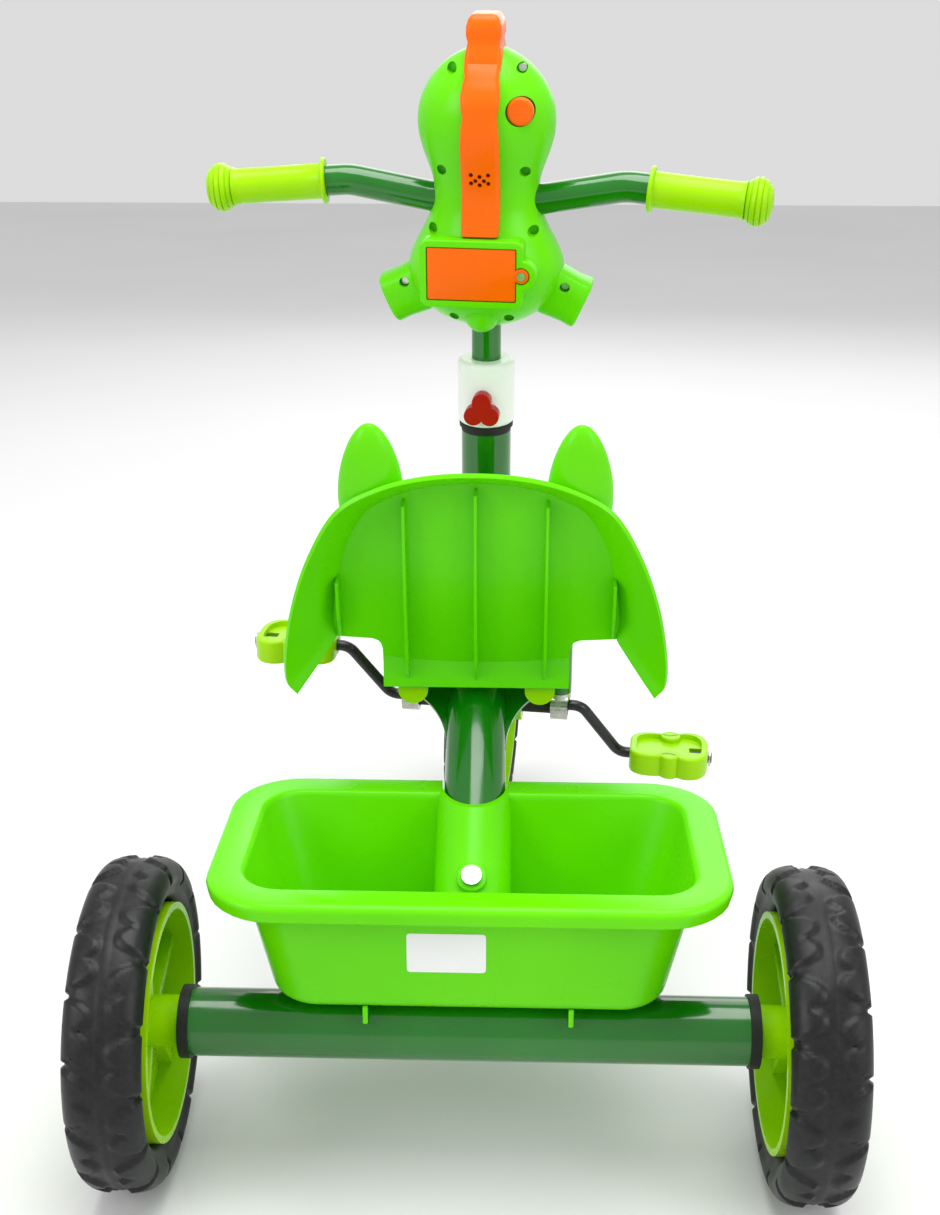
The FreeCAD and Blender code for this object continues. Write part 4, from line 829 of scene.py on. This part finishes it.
# %% Ribs and ears
RIB_X = (-84, -42.5, 0, 42.5, 84)
RIB_REACH = 13 * MM
EAR_HALF = 20.5 * MM
EAR_DEPTH = 13 * MM
EAR_TALL = 42 * MM
EAR_MIDDLE = 106 * MM
EAR_FRONT = -10 * MM
EAR_FOOT = 94 * MM
EAR_X = 61 * MM


def rib_at(x):
    """A thin plate that follows the panel from the tongue or wing up to the flange."""
    low, high = (1, 44) if abs(x) > 60 else (-34, 104 - 0.004 * x * x)
    steps = 24
    deselect()
    bpy.ops.mesh.primitive_grid_add(x_subdivisions=steps, y_subdivisions=1)
    rib = bpy.context.object
    for vertex in rib.data.vertices:
        height = low + (high - low) * (vertex.co.x + 1) / 2
        reach = RIB_REACH * min(1, 0.35 + (height - low) / 30)
        depth = panel_depth(x, height) + (reach if vertex.co.y > 0 else SEAT_WALL / 2)
        vertex.co = (x * MM, -depth, height * MM)
    modify(rib, "SOLIDIFY", thickness=2.0 * MM, offset=0)
    return round_edges(rib, 0.5 * MM, 2)


def ear_at(x):
    """A rounded cone that leans a little outwards in front of the rim."""
    deselect()
    bpy.ops.mesh.primitive_uv_sphere_add(segments=48, ring_count=32, radius=1)
    ear = bpy.context.object
    for vertex in ear.data.vertices:
        up = (vertex.co.z + 1) / 2
        narrow = 1 - 0.22 * up ** 2
        vertex.co = (vertex.co.x * EAR_HALF * narrow, vertex.co.y * EAR_DEPTH * narrow,
                     vertex.co.z * EAR_TALL)
    place(ear, Matrix.Translation((x, EAR_FRONT, EAR_MIDDLE)))
    return cut(ear, (x, 0, EAR_FOOT), (math.copysign(0.6, x), 0.58, 1), clear_inner=True,
               use_fill=True)


ears = [ear_at(x) for x in (-EAR_X, EAR_X)]
seat_back = join([seat_back] + [rib_at(x) for x in RIB_X] + ears)
place(seat_back, seat_place)

# %% [markdown]
# The pan is one open skin with a shallow dish.  The real skirt is open at the sides, so those faces
# are cut free and deleted before Solidify gives the wall, which leaves clean edges.

# %% Pan with its skirt
PAN_HALF = 100 * MM
PAN_CORNER = 30 * MM
pan_rear, pan_front = crease.y - 2 * MM, rear_axle_y + 0.318
pan_top = crease.z + 2 * MM


def pan_ring(inset, z, dish=0.0):
    """Outline of the pan; it rises to the front, and dish sinks its middle."""
    ring = rounded_ring(PAN_HALF - inset, pan_rear + min(inset, 4 * MM), pan_front - inset,
                        PAN_CORNER - min(inset, 22 * MM), z)
    for point in ring:
        share = (point.y - pan_rear) / (pan_front - pan_rear)
        point.z += 8 * MM * share - dish
    return ring


SKIRT_FOOT = 0.250
SKIRT_EDGE = 0.6 * MM
PAN_ROUND = 7 * MM
pan_rings = [pan_ring(SEAT_WALL, SKIRT_FOOT), pan_ring(SKIRT_EDGE, SKIRT_FOOT),
             pan_ring(0, SKIRT_FOOT + SKIRT_EDGE)]
pan_rings += [pan_ring(PAN_ROUND * (1 - c), pan_top - PAN_ROUND * (1 - s)) for s, c in quarter(5)]
pan_rings += [pan_ring(14 * MM, pan_top, 0.5 * MM), pan_ring(26 * MM, pan_top, 3 * MM),
              pan_ring(44 * MM, pan_top, 5 * MM), pan_ring(70 * MM, pan_top, 6 * MM)]
pan = skin("pan", pan_rings, close_first=False)
SIDE_OPEN = 58 * MM
side_top = crease.z - 1 * MM
side_front = pan_front - 40 * MM
for point, normal in (((SIDE_OPEN, 0, 0), (1, 0, 0)), ((-SIDE_OPEN, 0, 0), (1, 0, 0)),
                      ((0, side_front, 0), (0, 1, 0)), ((0, 0, side_top), (0, 0, 1))):
    cut(pan, point, normal)
pick(pan, "FACE", lambda f: abs(f.calc_center_median().x) > SIDE_OPEN
     and f.calc_center_median().y < side_front and f.calc_center_median().z < side_top)
bpy.ops.mesh.delete(type="FACE")
leave()
modify(pan, "SOLIDIFY", thickness=SEAT_WALL, offset=-1)


def blend(profile, half):
    """Extrude a closed profile (depth forward, height) from side to side of the crease."""
    loop = [Vector((-half, y * MM, z * MM)) for y, z in profile]
    return skin("blend", [loop, [p + Vector((2 * half, 0, 0)) for p in loop]])


# a fillet that carries the panel's front face forward into the pan
FILLET_R = 18
fillet = [(-1.5, 20), (0.5, 20)]
fillet += [(18.5 - FILLET_R * c, 20 - FILLET_R * s) for s, c in list(quarter(8))[1:]]
fillet += [(18.5, 0.5), (-1.5, 0.5)]
crease_fillet = place(blend(fillet, 84 * MM), seat_place)
seat = join([seat_back, pan, crease_fillet])
hand_over(smooth(seat, 32), "moulded_seat", finishes["lime_plastic"], "frame",
          ["seat"])

# %% [markdown]
# ## Pedals
# Each pedal is a paw: a waisted block with a sleeve for the spindle, open recesses on its faces and
# two half-round lobes at its middle.  Its outline is drawn as one closed curve and raised through
# rounded edges; the recesses and the spindle hole are cut afterwards.

# %% Pedal outline and block
PEDAL_HALF_LENGTH = 29.5 * MM
PEDAL_HALF_THICK = 9.6 * MM
PEDAL_EDGE = 2.2 * MM
# distance outwards from the pedal's middle and half-length front to rear, in mm
PAW = ((-32.5, 0), (-32.5, 12), (-30, 19), (-24, 23.5), (-15, 25), (-7, 24), (-1, 21.5), (4, 22.5),
       (10, 27), (17, 29), (25, 26.5), (30.5, 19), (32.5, 10), (32.5, 0))


def paw_loop():
    """Closed smooth outline of the paw in x and y."""
    loop = [Vector((x * MM, y * MM, 0)) for x, y in smooth_rows(PAW, 6)]
    return loop + [Vector((p.x, -p.y, 0)) for p in reversed(loop[1:-1])]


def shrunk(loop, inset, z):
    """The loop moved towards its middle by roughly the inset, at one level."""
    wide = 1 - inset / (32.5 * MM)
    long = 1 - inset / PEDAL_HALF_LENGTH
    return [Vector((p.x * wide, p.y * long, z)) for p in loop]


def make_pedal():
    """Paw with recessed faces, a sleeve, cross walls and the spindle hole."""
    loop = paw_loop()
    top = PEDAL_HALF_THICK
    rings = [shrunk(loop, PEDAL_EDGE * (1 - s), -top + PEDAL_EDGE * (1 - c)) for s, c in quarter(4)]
    rings += [shrunk(loop, PEDAL_EDGE * (1 - c), top - PEDAL_EDGE * (1 - s)) for s, c in quarter(4)]
    pedal = skin("pedal", rings)
    for side in (-1, 1):
        z = sorted((side * 5.5 * MM, side * (top + 5 * MM)))
        recess = skin("recess", [shrunk(loop, 6 * MM, z[0]), shrunk(loop, 4.5 * MM, z[1])])
        carve(pedal, recess)
    walls = [block_between((x - 1.1 * MM, -18 * MM, -top + 1.2 * MM),
                           (x + 1.1 * MM, 18 * MM, top - 1.2 * MM)) for x in (-17 * MM, 15 * MM)]
    walls += [bar_between((-31 * MM, 0, 0), (31 * MM, 0, 0), 8.2 * MM, "sleeve")]
    for y in (-20 * MM, 20 * MM):
        lobe = bar_between((1 * MM, y, -top), (1 * MM, y, top), 8.5 * MM, "lobe")
        walls.append(round_edges(lobe, 1.5 * MM))
    pedal = join([pedal] + walls)
    carve(pedal, bar_between((-40 * MM, 0, 0), (40 * MM, 0, 0), 5.1 * MM, "spindle_room"))
    window = block_between((17 * MM, -4.6 * MM, 0), (27 * MM, 4.6 * MM, 2 * top), "window")
    return carve(pedal, round_edges(window, 1.2 * MM))


pedal = make_pedal()
for side, name in ((1, "right_pedal"), (-1, "left_pedal")):
    low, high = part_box(name)
    turn = Vector(joints[name + "_turn"]["axis"]).normalized()
    outwards = turn * (1 if turn.x * side > 0 else -1)
    pivot = (low + high) / 2
    level = Vector((0, 0, 1)) - outwards * outwards.z
    level.normalize()
    lay = Matrix((outwards, level.cross(outwards), level)).transposed().to_4x4()
    piece = copy_of(pedal, name + "_paw", Matrix.Translation(pivot) @ lay)
    hand_over(smooth(piece, 35), name + "_paw", finishes["yellow_green_plastic"],
              name, [name])
bpy.data.objects.remove(pedal)

# %% [markdown]
# ## Grips
# The grips are turned: a flange by the hand, a plain barrel and a ball end with ring grooves.  One
# profile is spun about the bar's end direction and laid on both ends.

# %% Grip profile, spun
GRIP_PROFILE = ((0, 11.2), (0, 15.6), (0.8, 16.4), (2.2, 16.4), (3, 15.6), (3.6, 13.2), (4.6, 12.7),
                (20, 12.6), (45, 12.5), (62, 12.6), (66, 12.9), (68, 14.0))
BALL_FROM, BALL_TO, BALL_R, GROOVES = 68, 87.6, 17.4, 5
GROOVE_DEPTH = 1.1


def grip_points():
    """Half profile (along, radius) in mm, from the flange to the middle of the ball's end."""
    points = list(GRIP_PROFILE)
    steps = 90
    for i in range(1, steps + 1):
        t = i / steps
        if t < 0.9:
            radius = BALL_R * math.sqrt(max(0.0, 1 - (1.12 * (t - 0.44)) ** 2 * 2.2))
        else:
            radius = points[-1][1] * (1 - (t - 0.9) * 2.4)
        groove = GROOVE_DEPTH * max(0.0, math.cos(2 * math.pi * GROOVES * t)) ** 3
        groove *= 0.05 < t < 0.92
        points.append((BALL_FROM + (BALL_TO - BALL_FROM) * t, radius - groove))
    return points + [(BALL_TO, 0.05)]


def make_grip():
    """The grip's profile as rings about X."""
    points = grip_points()
    sides = 64
    rings = [[Vector((a * MM, r * MM * math.cos(2 * math.pi * k / sides),
                      r * MM * math.sin(2 * math.pi * k / sides))) for k in range(sides)]
             for a, r in points]
    return skin("grip", rings, close_first=False)


def middle_of(points):
    """Middle of the box round some points."""
    return Vector([(min(p[i] for p in points) + max(p[i] for p in points)) / 2 for i in range(3)])


grip = make_grip()
# the bar slants, so its end and the grip's flange lie within slices this thick
END_SLICE, FLANGE_SLICE, FLANGE_THICK = 3 * MM, 7 * MM, 3 * MM
bar_points = upright_points("handlebar")
for name in ("right_grip", "left_grip"):
    corners = upright_points(name)
    side = 1 if sum(c.x for c in corners) > 0 else -1
    inner = min(abs(c.x) for c in corners)
    outer = max(c.x * side for c in bar_points)
    flange = middle_of([c for c in corners if abs(c.x) < inner + FLANGE_SLICE])
    bar_end = middle_of([c for c in bar_points if c.x * side > outer - END_SLICE])
    along_bar = (bar_end - flange).normalized()
    lay = along_bar.to_track_quat("X", "Z").to_matrix().to_4x4()
    start = flange - along_bar * FLANGE_THICK / 2
    piece = copy_of(grip, name + "_ribbed", steering @ Matrix.Translation(start) @ lay)
    hand_over(smooth(piece, 30), name + "_ribbed", finishes["yellow_green_plastic"],
              "handlebar", [name])
bpy.data.objects.remove(grip)

# %% [markdown]
# ## The figure on the handlebar
# A small dinosaur sits on the bar with its back to the rider: round head, slim waist, broad hips,
# two stub arms, an orange crest down its back and a battery door below.  Head and body are stacked
# elliptical rings of one skin, so they flow into each other; the arms and the tail ball are joined
# by a boolean, and the whole is cut at the bar into the rear and front shells, as it is moulded.

# %% Body of the figure
BAR_LEVEL = 416 * MM
FIGURE_FLATNESS = 0.84
# level above the bar and half-width in mm, from the foot to the top of the head
BODY = ((-92, 8), (-90, 20), (-84, 34), (-76, 45), (-66, 53), (-54, 57), (-42, 56), (-30, 51),
        (-18, 44.5), (-6, 39.5), (4, 38), (14, 38.5), (24, 41.5), (34, 45.2), (46, 48.4), (58, 49),
        (70, 46.6), (82, 40.6), (92, 32), (99, 22.5), (104, 12), (105.5, 5))


body_rows = smooth_rows(BODY)


def half_width(level):
    """Half-width of the body in mm at a level above the bar in mm."""
    for (low, low_r), (high, high_r) in zip(body_rows, body_rows[1:]):
        if low <= level <= high:
            return low_r + (high_r - low_r) * (level - low) / (high - low)
    return 5.0


def back_depth(x, level, flat=FIGURE_FLATNESS):
    """How far the body's surface is from the bar's plane, in mm."""
    return flat * math.sqrt(max(half_width(level) ** 2 - x * x, 1.0))


def body_skin(sides=96):
    """The body as one skin of elliptical rings."""
    rings = []
    for level, radius in body_rows:
        rings.append([Vector((radius * MM * math.cos(2 * math.pi * k / sides),
                              FIGURE_FLATNESS * radius * MM * math.sin(2 * math.pi * k / sides),
                              level * MM)) for k in range(sides)])
    return skin("body", rings)


def squared_ring(half_y, half_z, at, sides=48):
    """A rounded rectangle across the arm, at a place along it."""
    ring = []
    for k in range(sides):
        a = 2 * math.pi * k / sides
        y, z = math.cos(a), math.sin(a)
        reach = (abs(y) ** 3.2 + abs(z) ** 3.2) ** (-1 / 3.2)
        ring.append(Vector((at * MM, y * reach * half_y * MM, z * reach * half_z * MM)))
    return ring


ARM_SLANT = math.radians(24)
ARM_ROOT = Vector((31 * MM, 0, -57 * MM))


def make_arm(side):
    """Stub arm: square, a little wider at its end, slanting down and out."""
    rows = ((0, 17, 19), (20, 17, 19), (34, 16.5, 18), (41, 17.5, 18.5), (43.4, 17.3, 18.4),
            (44.6, 16.4, 17.4), (45, 15, 16))
    arm = skin("arm", [squared_ring(y, z, at) for at, y, z in rows])
    place(arm, Matrix.Translation(ARM_ROOT) @ Matrix.Rotation(ARM_SLANT, 4, "Y"))
    return arm if side > 0 else place(arm, mirror_x)


figure = body_skin()
for side in (-1, 1):
    carve(figure, make_arm(side), "UNION")
deselect()
bpy.ops.mesh.primitive_uv_sphere_add(segments=48, ring_count=24, radius=12.5 * MM,
                                     location=(0, -27 * MM, -79 * MM))
carve(figure, settle(bpy.context.object), "UNION")

# %% [markdown]
# The music unit's door sits in a raised frame.  Frame, room and door share one outline, grown or
# shrunk by a margin, so the gap round the door is even.  The wells of the shell's screws are bored.

# %% Battery frame, door room, button room and screw wells
DOOR_HALF_X, DOOR_HALF_Z = 32, 19
DOOR_X, DOOR_Z = -5, -44
DOOR_FACE = -48.88
LOBE_X = DOOR_X + DOOR_HALF_X + 3.5
WELLS = ((-22, 92), (26, 92), (-29, 24), (30, 24), (-36, -18), (36, -18), (-59, -60), (59, -60),
         (-20, -80), (20, -80))
WELL_R, WELL_DEEP = 3.7, 9
BUTTON_X, BUTTON_Z = 27, 66
BUTTON_R, BUTTON_GAP = 9.5, 0.4
BUTTON_ROOM_END = -11.6


def mm_block(low, high, name="block"):
    """Box between two corners in millimetres."""
    return block_between([c * MM for c in low], [c * MM for c in high], name)


def mm_bar(start, end, radius, name="bar", sides=48):
    """Round bar between two points in millimetres."""
    return bar_between([c * MM for c in start], [c * MM for c in end], radius * MM, name, sides)


def door_ring(margin, y):
    """Outline of the door with its lobe, grown by a margin, at one depth."""
    half_x, half_z = DOOR_HALF_X + margin, DOOR_HALF_Z + margin
    corner = max(1.6 + margin, 0.6)
    reach = 6 + margin
    rise = math.sqrt(reach ** 2 - (half_x - (LOBE_X - DOOR_X)) ** 2)
    turn = math.atan2(rise, half_x - (LOBE_X - DOOR_X))
    points = [(LOBE_X - DOOR_X + reach * math.cos(a), reach * math.sin(a))
              for a in (turn * (k / 8 - 1) for k in range(17))]
    x, z = half_x - corner, half_z - corner
    for at_x, at_z, start in ((x, z, 0), (-x, z, 90), (-x, -z, 180), (x, -z, 270)):
        points += [(at_x + corner * math.cos(math.radians(start + 15 * k)),
                    at_z + corner * math.sin(math.radians(start + 15 * k))) for k in range(7)]
    return [Vector(((DOOR_X + x) * MM, y * MM, (DOOR_Z + z) * MM)) for x, z in points]


def door_plate(margin, near, far, edge, name):
    """Plate with the door's outline and a rounded edge on its near face."""
    rings = [door_ring(margin - edge * (1 - s), near + edge * (1 - c)) for s, c in quarter(3)]
    return skin(name, rings + [door_ring(margin, far)])


carve(figure, door_plate(5, DOOR_FACE, -30, 1.2, "frame_plate"), "UNION")
carve(figure, door_plate(0.2, DOOR_FACE - 5, DOOR_FACE + 2.9, 0.1, "door_room"))
carve(figure, mm_block((DOOR_X - DOOR_HALF_X, DOOR_FACE - 5, DOOR_Z - DOOR_HALF_Z),
                       (DOOR_X + DOOR_HALF_X, DOOR_FACE + 24, DOOR_Z + DOOR_HALF_Z)))
button_depth = back_depth(BUTTON_X, BUTTON_Z)
carve(figure, mm_bar((BUTTON_X, -(button_depth + 20), BUTTON_Z),
                     (BUTTON_X, BUTTON_ROOM_END, BUTTON_Z), BUTTON_R + BUTTON_GAP))
for x, z in WELLS:
    deep = 17 if abs(x) > 50 else back_depth(x, z)
    carve(figure, mm_bar((x, -(deep + 12), z), (x, -(deep - WELL_DEEP), z), WELL_R, "well", 32))

# %% Rear and front shells
front_shell = copy_of(figure, "front_shell", Matrix.Identity(4))
PARTING = 0.15 * MM
cut(figure, (0, -PARTING, 0), (0, 1, 0), use_fill=True, clear_outer=True)
cut(front_shell, (0, PARTING, 0), (0, 1, 0), use_fill=True, clear_inner=True)
figure_place = steering @ Matrix.Translation((0, 0, BAR_LEVEL))
place(figure, figure_place)
hand_over(smooth(figure, 34), "figure_back", finishes["lime_plastic"], "handlebar",
          ["figure_rear_shell"])

# %% [markdown]
# The front can't be seen from behind, so the face is a plain one: a snout, two brows with round
# eyes, nostrils and a straight mouth, all from scaled balls and one thin block.

# %% Face on the front shell
def ball(radii, at, name="ball"):
    """An ellipsoid with three half-sizes, in millimetres."""
    deselect()
    bpy.ops.mesh.primitive_uv_sphere_add(segments=48, ring_count=24, radius=MM,
                                         location=[c * MM for c in at])
    piece = bpy.context.object
    piece.scale = radii
    piece.name = name
    return settle(piece)


carve(front_shell, ball((26, 20, 17), (0, 37, 42), "snout"), "UNION")
for side in (-1, 1):
    carve(front_shell, ball((19.5, 10, 19.5), (side * 19, 33, 70), "brow"), "UNION")
    carve(front_shell, ball((2.2, 3, 1.8), (side * 9, 56, 46), "nostril"))
carve(front_shell, mm_block((-17, 45, 33.4), (17, 62, 34.6), "mouth"))
whites = [ball((15, 6, 15), (side * 18, 39.5, 71), "white") for side in (-1, 1)]
pupils = [ball((7.5, 4, 8.5), (side * 16, 43, 70), "pupil") for side in (-1, 1)]
eyes = join(whites)
pupils = join(pupils)
for piece in (front_shell, eyes, pupils):
    place(piece, figure_place)
hand_over(smooth(front_shell, 34), "figure_face", finishes["lime_plastic"],
          "handlebar", ["figure_front_shell"])
hand_over(smooth(eyes), "figure_eyes", finishes["white_plastic"], "handlebar")
hand_over(smooth(pupils), "figure_pupils", finishes["black_plastic"], "handlebar")

# %% [markdown]
# The crest is a strip of rounded rectangles stacked up the back, waisted where two scales meet, and
# drawn forward over the head as a horn.  The sound holes of the speaker are bored through it.

# %% Crest, door and button
# level, half-width, how far it stands proud of the back
CREST_ROWS = ((-19.4, 11.5, 3.5), (-18.4, 13.2, 5), (-10, 13.5, 6), (10, 13.5, 6), (30, 13.5, 6),
              (46, 13.4, 6), (58, 12.6, 5.4), (63, 11.8, 4.6), (68, 12.8, 5.8), (76, 13.5, 6),
              (84, 12.6, 5.2), (88, 11.6, 4.4), (92, 12.4, 5.4))
# sound holes: x and level
SOUND_HOLES = ((-6, 18.2), (-6, 24.2), (0, 17), (0, 23), (6, 18.2), (6, 24.2), (-3, 20), (3, 20))
SOUND_HOLE_R = 1.5
# the horn over the head: level, half-width, rear and front edge
HORN_ROWS = ((96, 12.8, -27, 2), (101, 12.6, -26, 12), (106, 11.6, -23.5, 14),
             (109, 11, -22.4, 13), (113, 12.2, -22.6, 12.5), (119, 12.2, -22, 11.5),
             (123.5, 11, -20.6, 10), (126.4, 9, -18, 7.5), (127, 6.5, -15, 5))


def crest_ring(half, rear, front, level, corner=3.2):
    """Rounded rectangle across the crest at one level, in millimetres."""
    corner = min(corner, half * 0.45)
    return rounded_ring(half * MM, rear * MM, front * MM, corner * MM, level * MM, 5)


crest_rings = [crest_ring(half, -back_depth(0, level) - proud, -back_depth(0, level) + 9, level)
               for level, half, proud in CREST_ROWS]
crest_rings += [crest_ring(half, rear, front, level) for level, half, rear, front in HORN_ROWS]
crest = skin("crest", crest_rings)
for x, z in SOUND_HOLES:
    carve(crest, mm_bar((x, -60, z), (x, -32, z), SOUND_HOLE_R, "sound_hole", 20))
place(crest, figure_place)
hand_over(smooth(crest, 40), "figure_crest", finishes["orange_plastic"],
          "handlebar", ["crest"])

door = door_plate(-0.5, DOOR_FACE + 0.2, DOOR_FACE + 2.6, 0.5, "door")
# how deep and how wide: the room of the screw's head, then of its shank
for deep, radius in ((1.3, 3.1), (9, 1.55)):
    carve(door, mm_bar((LOBE_X, DOOR_FACE - 3, DOOR_Z), (LOBE_X, DOOR_FACE + deep, DOOR_Z), radius))
place(door, figure_place)
hand_over(smooth(door, 32), "rounded_battery_door", finishes["orange_plastic"],
          "battery_door", ["battery_door"])

button_foot = 6 - button_depth
button = mm_bar((BUTTON_X, -(button_depth + 3), BUTTON_Z), (BUTTON_X, button_foot, BUTTON_Z),
                BUTTON_R, "button", 64)
round_edges(button, 2.6 * MM, 5)
stalk = mm_bar((BUTTON_X, button_foot, BUTTON_Z), (BUTTON_X, -14, BUTTON_Z), 3, "stalk")
button = place(join([button, stalk]), figure_place)
hand_over(smooth(button, 35), "domed_button", finishes["orange_plastic"],
          "music_button", ["music_button"])

# %% [markdown]
# ## Clamp knob
# Three lobes round a small hub are enough for a hand to turn.  Four discs are joined and their
# edges rounded, between the depths that the frame's knob has.

# %% Clamp knob
knob_axis = steering.inverted() @ Vector(joints["clamp_knob_turn"]["pos_m"])
knob_points = upright_points("clamp_knob")
knob_near = max(p.y for p in knob_points)
knob_far = min(p.y for p in knob_points)


def knob_disc(x, z, radius):
    """A disc as thick as the knob at a place beside its axis."""
    return bar_between((knob_axis.x + x, knob_far, knob_axis.z + z),
                       (knob_axis.x + x, knob_near, knob_axis.z + z), radius, "disc")


KNOB_R, LOBE_REACH, LOBE_R = 6.4 * MM, 7 * MM, 7.1 * MM
knob = knob_disc(0, 0, KNOB_R)
for degrees in (90, 210, 330):
    angle = math.radians(degrees)
    carve(knob, knob_disc(LOBE_REACH * math.cos(angle), LOBE_REACH * math.sin(angle), LOBE_R),
          "UNION")
round_edges(clean(knob), 1.6 * MM, 4, 50)
place(knob, steering)
hand_over(smooth(knob, 40), "rounded_knob", finishes["red_plastic"], "clamp",
          ["clamp_knob"])

# %% [markdown]
# ## Label
# A thin plain plate on the rear wall, with its corners rounded and nothing on it.

# %% Blank label on the basket
LABEL_HALF = (22 * MM, 12.5 * MM)
LABEL_X = -12 * MM
LABEL_RISE = 39 * MM
deselect()
bpy.ops.mesh.primitive_cube_add(size=1, scale=(2 * LABEL_HALF[0], 0.3 * MM, 2 * LABEL_HALF[1]))
label = settle(bpy.context.object)
pick(label, "EDGE", lambda e: abs((e.verts[0].co - e.verts[1].co).normalized().y) > 0.9)
bpy.ops.mesh.bevel(offset=2 * MM, segments=4, affect="EDGES")
leave()
wall_rear = tub_rear + REAR_TAPER * (1 - LABEL_RISE / TUB_HEIGHT)
place(label, Matrix.Translation((LABEL_X, wall_rear - 0.1 * MM, floor_level + LABEL_RISE))
      @ Matrix.Rotation(math.atan2(REAR_TAPER, TUB_HEIGHT), 4, "X"))
hand_over(smooth(label), "blank_label", finishes["white_plastic"], "frame")
